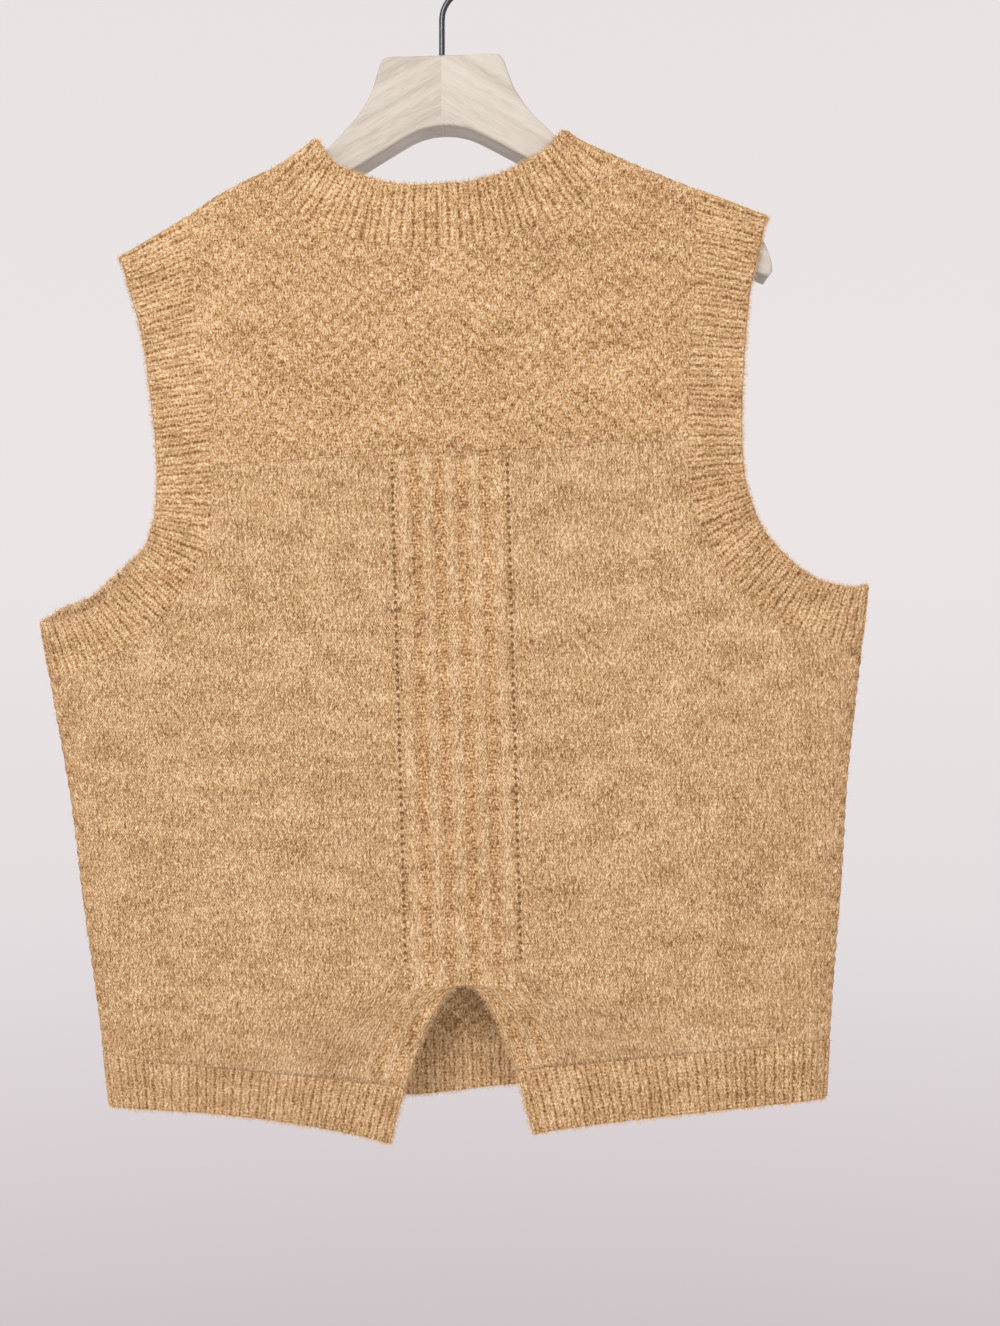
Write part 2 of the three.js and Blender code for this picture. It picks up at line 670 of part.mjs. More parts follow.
// One half of a panel: rows of pattern places from its inner line to its outer line. A row is open
// where the inner line down to the next row is a free edge, not the centre line.
function panelHalf(side, hand) {
  const name = side < 0 ? 'back' : 'front';
  const neck = necks[name][sideName(hand)];
  const arm = armholes[sideName(hand)];
  const rows = [];

  const neckPoints = neck.stops.map((i) => rungFromSeam(neck.rung, neck.columns[i], -HALF_GAP));
  const armPoints = panelArmEdge(side, hand, arm);
  const shared = neckPoints.length - 1;
  const lastArm = armPoints.length - 1;
  const guide = panelArmEdge(side, 1, armholes.right).map((place) => place[1]);
  armPoints.forEach((outer, i) => {
    const byLevel = (guide[i] - guide[shared]) / (UNDERARM - guide[shared]);
    const byCount = (i - shared) / (lastArm - shared);
    const progress = mix(byCount, byLevel, LEVEL_SHARE);
    const centre = [0, mix(NECK_CENTRE[name] - HALF_GAP, UNDERARM, progress)];
    rows.push({ inner: i <= shared ? neckPoints[i] : centre, outer, open: i < shared });
  });
  rows[0].inner[1] = ridgeTop(neckPoints[0][0]) - HALF_GAP;
  rows[0].outer[1] = ridgeTop(armPoints[0][0]) - HALF_GAP;
  rows[shared].inner[0] = 0;

  const startLevel = armPoints[lastArm][1];
  for (let i = 1; i <= SIDE_ROWS; i += 1) {
    const inner = [0, mix(UNDERARM, VENT_TOP, i / SIDE_ROWS)];
    rows.push({ inner, outer: sidePlace(side, hand, mix(startLevel, VENT_TOP, i / SIDE_ROWS)) });
  }

  const vented = side < 0;
  const outerTop = hemLevels(side, hand, hand * HEM.side)[0] + HALF_GAP;
  const innerTop = (vented ? ventCorner(hand, 0) : hemLevels(side, hand, 0)[0]) + HALF_GAP;
  for (let i = 1; i <= LOW_ROWS[name]; i += 1) {
    const u = i / LOW_ROWS[name];
    const outer = sidePlace(side, hand, mix(VENT_TOP, outerTop, u));
    const level = mix(VENT_TOP, innerTop, vented ? u * u : u);
    rows.at(-1).open = vented;
    rows.push({ inner: [vented ? ventEdge(hand, level) : 0, level], outer, hem: u });
  }
  return rows;
}

function sidePlace(side, hand, level) {
  const wrap = side < 0 ? -SIDE_WRAP : SIDE_WRAP;
  return [hand * (reachOf(level) + wrap - HALF_GAP), level];
}

// The panel's points along its armhole, down to the top of its side seam
function panelArmEdge(side, hand, arm) {
  const limit = (place) => {
    const most = reachOf(place[1]) + (side < 0 ? -SIDE_WRAP : SIDE_WRAP) - HALF_GAP;
    return [hand * Math.min(Math.abs(place[0]), most), place[1]];
  };
  if (side < 0) {
    return arm.stops.map((i) => limit(rungFromSeam(arm.near, arm.nearColumns[i], -HALF_GAP)));
  }
  const places = arm.stops.map((i) => rungFromSeam(arm.far, arm.farColumns[i], -HALF_GAP));
  for (const g of arm.farWrap.slice(1)) places.push(rungFromSeam(arm.far, g, -HALF_GAP));
  for (const g of arm.nearWrap.slice(0, -1).reverse()) {
    const [s, t] = rungFromSeam(arm.near, g, -HALF_GAP);
    places.push(limit([hand * (2 * reachOf(t) - Math.abs(s)), t]));
  }
  return places;
}

// Columns of a panel, by distance from its inner line and then from its outer line
const BACK_COLUMNS = {
  fromInner: [0, 3.2, 6.9, 10.6, 17.0, 20.7, 24.4, 30.8, 34.5],
  ribTops: [1, 1, 0, 1, 1, 0, 1, 1, 0],
  fromOuter: [90, 58, 34, 19, 9, 3.5, 0],
  insideOnly: [0, 4, 8, 10, 12, 14, 15],
  ribbed: true,
};
const FRONT_COLUMNS = {
  fromInner: [0, 30],
  ribTops: [0, 0],
  fromOuter: [100, 62, 36, 22, 15, 12, 9.5, 7, 4, 0],
  insideOnly: [0, 2, 4, 6, 7, 8, 9, 11],
  ribbed: false,
};
const FULL_ROW = 145;
const RIDGE_REACH = 60;
const RIB_FADE = 12;

function panel(side) {
  const plan = side < 0 ? BACK_COLUMNS : FRONT_COLUMNS;
  const skin = new Skin();
  for (const hand of [-1, 1]) addPanelHalf(skin, side, hand, plan);
  return skin.geometry();
}

function addPanelHalf(skin, side, hand, plan) {
  const rows = panelHalf(side, hand);
  const flip = hand < 0;
  const built = rows.map((row, i) => panelRow(side, hand, plan, row, i));
  const last = built.length - 1;
  for (let i = 0; i < last; i += 1) {
    skin.zip(built[i].outer, built[i + 1].outer, flip);
    skin.zip(built[i + 1].inner, built[i].inner, flip);
  }
  skin.zip(built[0].inner, built[0].outer, flip);
  skin.zip(built[last].outer, built[last].inner, flip);
  const edge = (face, atOuter) => built.map((row, i) => {
    const line = row[face];
    return { key: i, point: line[atOuter ? line.length - 1 : 0].point };
  });
  skin.zip(edge('inner', true), edge('outer', true), flip);
  for (let i = 0; i < last; i += 1) {
    if (rows[i].open) skin.zip(edge('outer', false).slice(i, i + 2), edge('inner', false).slice(i, i + 2), flip);
  }
}

function panelRow(side, hand, plan, row, number) {
  const [s0, t0] = row.inner;
  const [s1, t1] = row.outer;
  const length = Math.abs(s1 - s0);
  const scale = Math.min(1, length / FULL_ROW);
  const distances = [
    ...plan.fromInner.map((d) => d * scale),
    ...plan.fromOuter.map((d) => length - d * scale),
  ];
  const down = ridgeTop(s0) - t0;
  const followRidge = number === 0 ? 1 : clamp01(1 - down / RIDGE_REACH);
  const followHem = row.hem ? row.hem ** 2 : 0;
  const hemTop = (s) => hemLevels(side, hand, Math.sign(s || hand) * Math.min(Math.abs(s), HEM.side))[0];
  const outer = [];
  const inner = [];
  distances.forEach((distance, j) => {
    const u = distance / length;
    const s = mix(s0, s1, u);
    let t = mix(t0, t1, u);
    t += followRidge * (ridgeTop(s) - mix(ridgeTop(s0), ridgeTop(s1), u));
    t += followHem * (hemTop(s) - mix(hemTop(s0), hemTop(s1), u));
    const top = plan.ribTops[j] || 0;
    const raise = plan.ribbed ? RIB_RAISE * top * ease((RIB_START - t) / RIB_FADE) : 0;
    const wall = wallPoint(side, s, t, raise);
    outer.push({ key: j, point: wall.outer });
    if (plan.insideOnly.includes(j)) inner.push({ key: j, point: wall.inner });
  });
  return { outer, inner };
}

// Solids for cutting and joining
function toSolid(geometry) {
  const bare = geometry.clone();
  bare.deleteAttribute('normal');
  bare.deleteAttribute('uv');
  const merged = mergeVertices(bare, 1e-4);
  return new wasm.Manifold(new wasm.Mesh({
    numProp: 3,
    vertProperties: Float32Array.from(merged.attributes.position.array),
    triVerts: Uint32Array.from(merged.index.array),
  }));
}

function fromSolid(solid) {
  const mesh = solid.getMesh();
  const geometry = new THREE.BufferGeometry();
  geometry.setAttribute('position', new THREE.BufferAttribute(Float32Array.from(mesh.vertProperties), 3));
  geometry.setIndex(Array.from(mesh.triVerts));
  geometry.computeVertexNormals();
  return geometry;
}

// The wood as one eased board, then parted at its centre seam and bored for the hook
function woodBoard() {
  const smooth = (points, count) => {
    const spline = new THREE.SplineCurve(points.map(([x, z]) => new THREE.Vector2(x, z)));
    return spline.getPoints(count);
  };
  const top = smooth(WOOD_TOP, WOOD_TOP_SAMPLES);
  const under = smooth(WOOD_UNDER, WOOD_UNDER_SAMPLES);
  const right = [...top, ...under];
  const mirrored = (x) => -(x < WOOD_SHOULDER ? x : mix(WOOD_SHOULDER, x, LEFT_ARM_SHARE));
  const left = right.slice(0, -1).reverse().map((point) => new THREE.Vector2(mirrored(point.x), point.y));
  const shape = new THREE.Shape([...right, ...left]);
  const board = new THREE.ExtrudeGeometry(shape, {
    depth: WOOD_THICKNESS - 2 * WOOD_EASING,
    bevelEnabled: true,
    bevelThickness: WOOD_EASING,
    bevelSize: WOOD_EASING,
    bevelOffset: -WOOD_EASING,
    bevelSegments: 2,
  });
  board.translate(0, 0, -WOOD_THICKNESS / 2 + WOOD_EASING);
  board.rotateX(Math.PI / 2);
  return board;
}

function woodHalf(hand) {
  const cutter = new THREE.BoxGeometry(CUTTER, CUTTER, CUTTER);
  cutter.translate(hand * (CUTTER / 2 + HALF_GAP), 0, 0);
  const half = fromSolid(toSolid(woodBoard()).intersect(toSolid(cutter)));
  half.rotateY(radians(-WOOD_ROLL));
  const boreRadius = WIRE_RADIUS + BORE_CLEARANCE;
  const bore = new THREE.CylinderGeometry(boreRadius, boreRadius, BORE_LENGTH, BORE_SIDES);
  bore.rotateX(Math.PI / 2);
  bore.translate(0, 0, BORE_LENGTH / 2 - SHANK_SINK - BORE_CLEARANCE);
  const bored = fromSolid(toSolid(half).subtract(toSolid(bore)));
  bored.translate(0, 0, -HOOK_DROP);
  return bored;
}

// Centre line of the hook: shank, bend to the right, then round over the top
function hookPoints() {
  const radius = HOOK_INNER_RADIUS + WIRE_RADIUS;
  const centre = -HOOK_INNER_RADIUS;
  const onCircle = (angle) => new THREE.Vector2(
    radius * Math.cos(radians(angle)),
    centre + radius * Math.sin(radians(angle)),
  );
  const join = onCircle(HOOK_JOIN_ANGLE);
  const tangent = new THREE.Vector2(-Math.sin(radians(HOOK_JOIN_ANGLE)), Math.cos(radians(HOOK_JOIN_ANGLE)));
  const bend = new THREE.CubicBezierCurve(
    new THREE.Vector2(0, join.y - HOOK_BEND.length),
    new THREE.Vector2(0, join.y - HOOK_BEND.pull),
    join.clone().addScaledVector(tangent, -HOOK_BEND.pull),
    join,
  );
  const points = [];
  for (let z = -HOOK_DROP - SHANK_SINK; z < join.y - HOOK_BEND.straight; z += HOOK_SPACING) {
    points.push(new THREE.Vector2(0, z));
  }
  points.push(...bend.getPoints(8));
  for (let angle = HOOK_JOIN_ANGLE + HOOK_SPACING; angle <= HOOK_END_ANGLE; angle += HOOK_SPACING) {
    points.push(onCircle(angle));
  }
  return points.map((point) => new THREE.Vector3(point.x, 0, point.y));
}

function hook() {
  const wire = new THREE.Shape();
  wire.absarc(0, 0, WIRE_RADIUS, 0, 2 * Math.PI);
  const path = new THREE.CatmullRomCurve3(hookPoints(), false, 'centripetal');
  const geometry = new THREE.ExtrudeGeometry(wire, {
    steps: HOOK_STEPS,
    curveSegments: HOOK_SIDES,
    extrudePath: path,
    bevelEnabled: false,
  });
  return geometry;
}

// Materials
const knit = () => new THREE.MeshStandardMaterial({ color: '#cda573', roughness: 0.95, metalness: 0 });
const ribbing = () => new THREE.MeshStandardMaterial({ color: '#c39a69', roughness: 0.95, metalness: 0 });
const paleWood = () => new THREE.MeshStandardMaterial({ color: '#dcd2c4', roughness: 0.6, metalness: 0 });
const steel = () => new THREE.MeshStandardMaterial({ color: '#55565a', roughness: 0.35, metalness: 1 });

const vest = new THREE.Group();
function add(name, geometry, material) {
  const mesh = new THREE.Mesh(geometry, material);
  mesh.name = name;
  vest.add(mesh);
}

add('back_panel', panel(-1), knit());
add('front_panel', panel(1), knit());
add('neckband', neckband(), ribbing());
add('armband_left', armband(-1), ribbing());
add('armband_right', armband(1), ribbing());
add('hem_back_left', hemBack(-1), ribbing());
add('hem_back_right', hemBack(1), ribbing());
add('hem_front', hemFront(), ribbing());
add('hanger_left', woodHalf(-1), paleWood());
add('hanger_right', woodHalf(1), paleWood());
add('hook', hook(), steel());

export default vest;
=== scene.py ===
"""Knitted sweater vest on a wooden hanger: the fine knit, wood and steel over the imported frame.

Lengths in the tables are millimetres in the garment's own pattern: s runs along the cloth from the
centre line, t runs up it, and side is -1 for the shown layer or +1 for the layer behind.
"""
import math

import bpy
import numpy as np
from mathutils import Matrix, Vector


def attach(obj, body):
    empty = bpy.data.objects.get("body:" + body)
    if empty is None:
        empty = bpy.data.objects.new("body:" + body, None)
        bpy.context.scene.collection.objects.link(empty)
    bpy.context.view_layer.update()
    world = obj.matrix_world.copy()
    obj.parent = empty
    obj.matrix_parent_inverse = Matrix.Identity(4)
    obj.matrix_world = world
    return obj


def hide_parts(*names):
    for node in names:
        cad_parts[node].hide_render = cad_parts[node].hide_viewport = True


bl_info = {
    "name": "Knitted vest",
    "version": (1, 0, 0),
    "blender": (4, 5, 0),
    "location": "View3D > Sidebar > Vest",
    "description": "Builds the fine surfaces of a knitted vest on a wooden hanger",
    "category": "Object",
}

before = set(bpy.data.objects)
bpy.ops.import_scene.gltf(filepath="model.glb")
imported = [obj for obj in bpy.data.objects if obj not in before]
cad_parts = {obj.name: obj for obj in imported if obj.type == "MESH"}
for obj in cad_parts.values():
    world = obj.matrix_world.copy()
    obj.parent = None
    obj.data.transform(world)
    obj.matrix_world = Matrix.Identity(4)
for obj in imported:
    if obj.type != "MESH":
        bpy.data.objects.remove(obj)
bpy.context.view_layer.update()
MM = 0.001
BODY_NAME = "root"

# Cloth
HOOK_DROP = 86
WALL = 2.4
RIB_RAISE = 1.0
RIDGE_DROP = 7
ROLL_LENGTH = 16.8
SIDE_WRAP = 9.5
FOLD_SHARPNESS = 12
LOWEST_SECTION = -660
HIGHEST_SECTION = -40
NORMAL_STEP = 0.4

# Edges of the wall, as shares of its thickness: a free edge rounds off and a seam sinks in
RIM_RADIUS = 1.3
RIM_SHARE = 0.25
SEAM_WIDTH = 1.1
SEAM_DENT = 0.3
HEM_DENT = 0.1
EDGE_ROLL_PLACE = 1.6
EDGE_ROLL_WIDTH = 1.3
EDGE_ROLL_RAISE = 0.7
VENT_LIP = 0.5
INNER_SHARE = {"panel": 0.5, "band": 0.7}
# Share of the wall's thickness above which an end is sewn on and not free
SEWN_SHARE = 0.6

# Knit gauge
WALE = 2.7
COURSE = 2.2
RIB_PITCH = {"neck": 6.8, "arm": 5.8, "hem_left": 5.2, "hem_right": 5.9, "hem_front": 5.7}
BAND_DEPTH = {"neck": 36, "arm": 33, "hem_back": 36, "hem_front": 34}
RIB_SEED = 5
RIB_SIZES = np.random.default_rng(RIB_SEED).uniform(0.55, 1.1, 512)
MOSS_WIDTH = 10.8
MOSS_HEIGHT = 9.0
MOSS_RAISE = 0.45
MOSS_FIRMNESS = 1.6
HAIR_SLANT = math.radians(40)
HAIR_SCALE = (2.5, 0.6, 1.0)

# Levels down the cloth
NECK_CENTRE = {"back": -120, "front": -180}
YOKE_LEVEL = -242
VENT_TOP = -555
VENT_SPREAD = 4.4
VENT_LEAN = 0.036
VENT_REACH = 150
UNDERARM = -366.6

# Half-width of the folded tube, its half-depth at the centre, and how much flatter its sides are
BODY = np.array([
    # level, half_width, depth, taper
    (-660, 212, 16.0, 0.32),
    (-628, 214, 16.0, 0.32),
    (-569, 219, 16.0, 0.32),
    (-505, 226, 15.8, 0.31),
    (-440, 232, 15.5, 0.30),
    (-366, 242.5, 15.0, 0.28),
    (-330, 247, 14.6, 0.24),
    (-200, 247, 13.8, 0.15),
    (-40, 247, 13.6, 0.12),
])

# Top line of the shoulders, where the shown layer turns over to the layer behind
RIDGE = np.array([
    # across, level
    (-205, -117.8), (-194.5, -112.4), (-157, -92.8), (-127, -75.5), (-95, -62), (-78, -51.3),
    (-40, -24), (0, -14), (40, -26), (78, -57.9), (103, -71.7), (131, -85.5), (160.5, -98.8),
    (192.6, -113), (205, -118.5),
])

# Armhole rungs from the shoulder ridge to the side fold; level 0 stands for the ridge
ARMHOLE = np.array([
    # seam_across, seam_level, edge_across, edge_level
    (151, 0, 194, 0),
    (149, -122, 186.7, -133),
    (148, -150, 180.4, -158),
    (144, -193, 175.8, -196),
    (141.5, -232, 173.2, -235),
    (141.5, -265, 174, -262),
    (147, -293, 178, -280),
    (161.5, -318, 185, -296.5),
    (178, -338, 199.7, -314),
    (199.7, -352.6, 216, -326),
    (225.5, -362.6, 235, -331),
    (234, UNDERARM, 241.5, -331.2),
    (0, -365.2, 0, -330),
])
FOLD_RUNG = len(ARMHOLE) - 1
BEHIND_SEAM = {10: -361, 11: -363.6}
ARMHOLE_PEEK = {"left": {6: 3, 7: 9, 8: 12, 9: 11, 10: 8.5, 11: 5}, "right": {7: 2, 8: 3, 9: 2}}

# Neck rungs from the centre line to the shoulder ridge
NECK = {
    "back": np.array([
        # seam_across, seam_level, edge_across, edge_level
        (0, -120, 0, -83),
        (21, -119, 18, -82.6),
        (43, -115, 35, -79.3),
        (69.5, -105.5, 52, -72.4),
        (88, -93.5, 65, -64.5),
        (99, 0, 77.8, 0),
    ]),
    "front": np.array([
        (0, -180, 0, -143),
        (30, -175, 22, -139),
        (62, -157, 42, -126),
        (84, -130, 58, -106),
        (95, -101, 70, -82),
        (99, 0, 77.8, 0),
    ]),
}
RIDGE_RUNG = 5

# Hem lines: level at the side, extra drop at the vent and how late it comes
HEM_BACK = {
    "left": {"top": -596, "top_drop": 19, "bottom": -628, "bottom_drop": 24.3, "lateness": 2.1},
    "right": {"top": -594, "top_drop": 11, "bottom": -628, "bottom_drop": 15.3, "lateness": 1.3},
}
HEM_FRONT = {"top": -594, "bottom": -628, "bottom_rise": 2, "ripple": 0.12, "ripple_width": 60}
HEM_SPAN = 184
HEM_SIDE = 212

# Soft folds of the hanging cloth
FOLDS = np.array([
    # across, level, width, height, lean, depth
    (-150, -575, 120, 26, 0.12, -3.2),
    (-170, -530, 90, 30, 0.10, 2.6),
    (-80, -300, 70, 110, -0.15, -2.4),
    (75, -330, 55, 150, 0.05, 2.2),
    (190, -500, 50, 120, 0.25, 2.6),
    (150, -420, 26, 120, -0.35, -2.2),
    (-195, -430, 26, 90, 0.35, 2.0),
])
FOLD_FADE = (-150, -230)
FOLD_SIDE_FADE = 0.2
VENT_FLARE = {"depth": 6, "width": 55, "height": 60, "above": 20}
LEAN = {"centre": 0.5, "drift": 13.1 / 472, "neck": -83, "angle": 3.8, "easing": 0.00617, "from": -116}

# Centre ribs and the rows of small holes beside them
CENTRE_RIB_PITCH = 13.8
CENTRE_RIB_EDGE = 34.0
CENTRE_RIB_RAISE = 0.8
CENTRE_RIB_SINK = 0.45
CENTRE_RIB_LOW_SHARE = 0.6
HOLE_PITCH = 4.6
HOLE_END = -541
PIT_WIDTH = 1.3
PIT_DEPTH = 0.6

# Wood: upper and lower outline of the right half, from the centre seam to the tip
WOOD_THICKNESS = 20
WOOD_ROLL = 1.86
WOOD_SHOULDER = 129
LEFT_ARM_SHARE = 0.88
WOOD_FLAT_TOP = 16
WOOD_TOP_STEPS = 110
WOOD_UNDER_STEPS = 60
EASING_STEP = 15
WOOD_INNER_RING = 0.5
WOOD_TOP = np.array([
    (32, -5.2), (36.4, -8.6), (38.8, -15.2), (42.5, -25.5), (50, -38), (59.8, -48.8),
    (69.7, -58.3), (80, -64.2), (95, -70.1), (112, -76.35), (129, -83.9), (145, -92.8), (160, -101.7),
    (178, -112.9), (186, -119), (189.6, -126.5), (191.8, -134), (192.2, -139.5),
])
WOOD_UNDER = np.array([
    (189.5, -143), (178, -138), (160, -129), (130, -112.5), (100, -95.6), (75, -82.4),
    (51, -69.5), (34, -59.7), (18, -51), (7.5, -47.9), (0, -47.3),
])

# Hook
WIRE_RADIUS = 1.8
HOOK_INNER_RADIUS = 24
SHANK_SINK = 30
HOOK_JOIN_ANGLE = -48
HOOK_END_ANGLE = 196
HOOK_STEP = 4
HOOK_BEND = {"length": 24, "pull": 11, "straight": 26, "steps": 16}
WIRE_SIDES = 20
WIRE_TIP_TURNS = (30, 55, 75, 90)
WIRE_TIP_LENGTH = 0.55
WIRE_TIP_FACE = 0.02

# Camera: where the photograph was taken from, in millimetres
CAMERA_ACROSS = 34.8
CAMERA_LEVEL = -366
CAMERA_DISTANCE = 850
PHOTO_HEIGHT_AT_WOOD = 795.6
SENSOR = 36.0


def mix(start, end, u):
    return start + (end - start) * u


def ease(u):
    u = np.clip(u, 0, 1)
    return u * u * (3 - 2 * u)


def linear_colour(code):
    """Linear colour of an sRGB hex code."""
    def linear(value):
        return value / 12.92 if value <= 0.04045 else ((value + 0.055) / 1.055) ** 2.4
    return tuple(linear(int(code[i:i + 2], 16) / 255) for i in (1, 3, 5)) + (1.0,)


def curve(xs, ys):
    """Smooth curve through one column of a table."""
    xs, ys = np.asarray(xs, float), np.asarray(ys, float)
    before = np.maximum(np.arange(len(xs)) - 1, 0)
    after = np.minimum(np.arange(len(xs)) + 1, len(xs) - 1)
    slopes = (ys[after] - ys[before]) / (xs[after] - xs[before])

    def at(x):
        x = np.clip(np.asarray(x, float), xs[0], xs[-1])
        i = np.clip(np.searchsorted(xs, x, side="right") - 1, 0, len(xs) - 2)
        span = xs[i + 1] - xs[i]
        u = (x - xs[i]) / span
        u2, u3 = u * u, u * u * u
        start = (2 * u3 - 3 * u2 + 1) * ys[i] + (u3 - 2 * u2 + u) * slopes[i] * span
        return start + (3 * u2 - 2 * u3) * ys[i + 1] + (u3 - u2) * slopes[i + 1] * span
    return at


half_width_at = curve(BODY[:, 0], BODY[:, 1])
depth_at = curve(BODY[:, 0], BODY[:, 2])
taper_at = curve(BODY[:, 0], BODY[:, 3])
ridge_at = curve(RIDGE[:, 0], RIDGE[:, 1])

# Lengths along the cloth for each level and turn, and the turn for each share of the length
LEVELS = np.arange(-665, -29, 1.0)
TURN_STEPS = 96
SHARE_STEPS = 500


def layer_depth(level, fraction):
    rounding = np.sqrt(np.maximum(0, 1 - fraction ** FOLD_SHARPNESS))
    return depth_at(level) * (1 - taper_at(level) * fraction ** 2) * rounding


def section_tables():
    turns = np.linspace(0, math.pi / 2, TURN_STEPS + 1)
    fraction = np.sin(turns)[None, :]
    level = LEVELS[:, None]
    across = fraction * half_width_at(level)
    depth = layer_depth(level, np.broadcast_to(fraction, across.shape))
    steps = np.hypot(np.diff(across, axis=1), np.diff(depth, axis=1))
    lengths = np.concatenate([np.zeros((len(LEVELS), 1)), np.cumsum(steps, axis=1)], axis=1)
    shares = np.linspace(0, 1, SHARE_STEPS + 1)
    turn = np.array([np.interp(shares, row / row[-1], turns) for row in lengths])
    return lengths, turn


LENGTHS, TURNS = section_tables()


def grid_value(table, level, share):
    """Value of a level and share table between its rows and columns."""
    x = np.clip((level - LEVELS[0]) / (LEVELS[1] - LEVELS[0]), 0, len(LEVELS) - 1.001)
    y = np.clip(share, 0, 1) * (table.shape[1] - 1)
    y = np.minimum(y, table.shape[1] - 1.001)
    i, j = x.astype(int), y.astype(int)
    u, v = x - i, y - j
    low = mix(table[i, j], table[i, j + 1], v)
    return mix(low, mix(table[i + 1, j], table[i + 1, j + 1], v), u)


def reach_of(level):
    return np.interp(level, LEVELS, LENGTHS[:, -1])


def along_of(across, level):
    across, level = np.asarray(across, float), np.asarray(level, float)
    turn = np.arcsin(np.clip(np.abs(across) / half_width_at(level), 0, 1))
    return np.sign(across) * grid_value(LENGTHS, level, turn / (math.pi / 2))


def ridge_top(across):
    return ridge_at(across) + ROLL_LENGTH - RIDGE_DROP


def fold_shift(layer, across, level):
    """How far the folds and the vent's corners move the cloth along Y."""
    shift = np.zeros_like(across)
    for centre, height, width, tall, lean, depth in FOLDS:
        x = (across - centre) / width
        z = (level - height - lean * (across - centre)) / tall
        shift += depth * np.exp(-x * x - z * z)
    shift *= ease((level - FOLD_FADE[0]) / (FOLD_FADE[1] - FOLD_FADE[0]))
    shift *= 1 - ease((np.abs(across) / half_width_at(level) - (1 - FOLD_SIDE_FADE)) / FOLD_SIDE_FADE)
    flare = np.exp(-(across / VENT_FLARE["width"]) ** 2)
    flare *= VENT_FLARE["depth"] * ease((VENT_TOP + VENT_FLARE["above"] - level) / VENT_FLARE["height"])
    return shift - np.where(layer < 0, flare, 0)


def cloth_point(side, s, t):
    """Place in millimetres of a pattern point on the middle of the wall."""
    s, t = np.broadcast_arrays(np.asarray(s, float), np.asarray(t, float))
    section = np.maximum(t, LOWEST_SECTION)
    total = reach_of(section)
    hand = np.where(s < 0, -1.0, 1.0)
    along = np.abs(s)
    past = along > total
    along = np.where(past, 2 * total - along, along)
    layer = np.where(past, -side, side)
    turn = grid_value(TURNS, section, along / total)
    fraction = np.sin(turn)
    across = hand * fraction * half_width_at(section)
    down = ridge_top(across) - t
    layer = np.where(down < 0, -layer, layer)
    down = np.abs(down)
    roll = np.minimum(1, down / ROLL_LENGTH) * (math.pi / 2)
    level = ridge_at(across) - RIDGE_DROP * (1 - np.cos(roll)) - np.maximum(0, down - ROLL_LENGTH)
    y = layer * layer_depth(level, fraction) * np.sin(roll) + fold_shift(layer, across, level)
    angle = np.radians(LEAN["angle"] - LEAN["easing"] * (LEAN["from"] - level))
    x = LEAN["centre"] + (LEAN["neck"] - level) * LEAN["drift"] + across * np.cos(angle)
    return np.stack([x, y, level + across * np.sin(angle) - HOOK_DROP], axis=-1)


def cloth_normal(side, s, t):
    along = cloth_point(side, s + NORMAL_STEP, t) - cloth_point(side, s - NORMAL_STEP, t)
    up = cloth_point(side, s, t + NORMAL_STEP) - cloth_point(side, s, t - NORMAL_STEP)
    normal = -side * np.cross(along, up)
    return normal / np.linalg.norm(normal, axis=-1, keepdims=True)


def rung_lines(table, hand, ends_on_fold, longer=None, levels=None):
    """Seam and free edge of a band as functions of the rung number, giving s and t."""
    numbers = np.arange(len(table))
    ends = []
    for end in (0, 2):
        across = hand * table[:, end]
        level = table[:, end + 1].copy()
        if levels and end == 0:
            for i, value in levels.items():
                level[i] = value
        level = np.where(level == 0, ridge_top(across), level)
        along = along_of(across, np.minimum(level, HIGHEST_SECTION))
        if ends_on_fold:
            along[-1] = hand * reach_of(level[-1])
        ends.append(np.stack([along, level], axis=1))
    seam, edge = ends
    for i, extra in (longer or {}).items():
        edge[i] += (edge[i] - seam[i]) / np.linalg.norm(edge[i] - seam[i]) * extra
    parts = [[curve(numbers, line[:, k]) for k in (0, 1)] for line in (seam, edge)]

    def at(g, w):
        g = np.asarray(g, float)
        (seam_s, seam_t), (edge_s, edge_t) = [[part(g) for part in line] for line in parts]
        return mix(seam_s, edge_s, w), mix(seam_t, edge_t, w)
    return at


def spread(rung, side, start, end, count, w=0.5):
    """Rung numbers that cut a band's line into equal lengths."""
    numbers = np.linspace(start, end, 400)
    points = cloth_point(side, *rung(numbers, w))
    lengths = np.concatenate([[0], np.cumsum(np.linalg.norm(np.diff(points, axis=0), axis=1))])
    return np.interp(np.linspace(0, lengths[-1], count + 1), lengths, numbers), lengths[-1]


class Armhole:
    """Both layers of one armhole, and the rung where the shown layer's side seam begins."""

    def __init__(self, hand):
        self.near = rung_lines(ARMHOLE, hand, True)
        peek = ARMHOLE_PEEK["left" if hand < 0 else "right"]
        self.far = rung_lines(ARMHOLE, hand, True, peek, BEHIND_SEAM)
        numbers = np.linspace(FOLD_RUNG - 1, FOLD_RUNG, 400)
        s, t = self.near(numbers, 0)
        self.corner = numbers[np.argmax(np.abs(s) > reach_of(t) - SIDE_WRAP)]


ARMHOLES = {-1: Armhole(-1), 1: Armhole(1)}


def cut_of(*grids):
    """Width, length and area in millimetres of a piece's cut, from its places in the flat pattern."""
    area = 0.0
    for s, t in grids:
        across, rise = np.diff(s, axis=1)[:-1], np.diff(t, axis=1)[:-1]
        area += np.abs(across * np.diff(t, axis=0)[:, :-1] - rise * np.diff(s, axis=0)[:, :-1]).sum()
    columns = (np.concatenate([grid[k].ravel() for grid in grids]) for k in (0, 1))
    width, length = (float(np.ptp(column)) for column in columns)
    return width, length, float(area)


# How closely fibres stand on each face, by piece, in the order in which the pieces are made
FUZZ_SHARES = {}


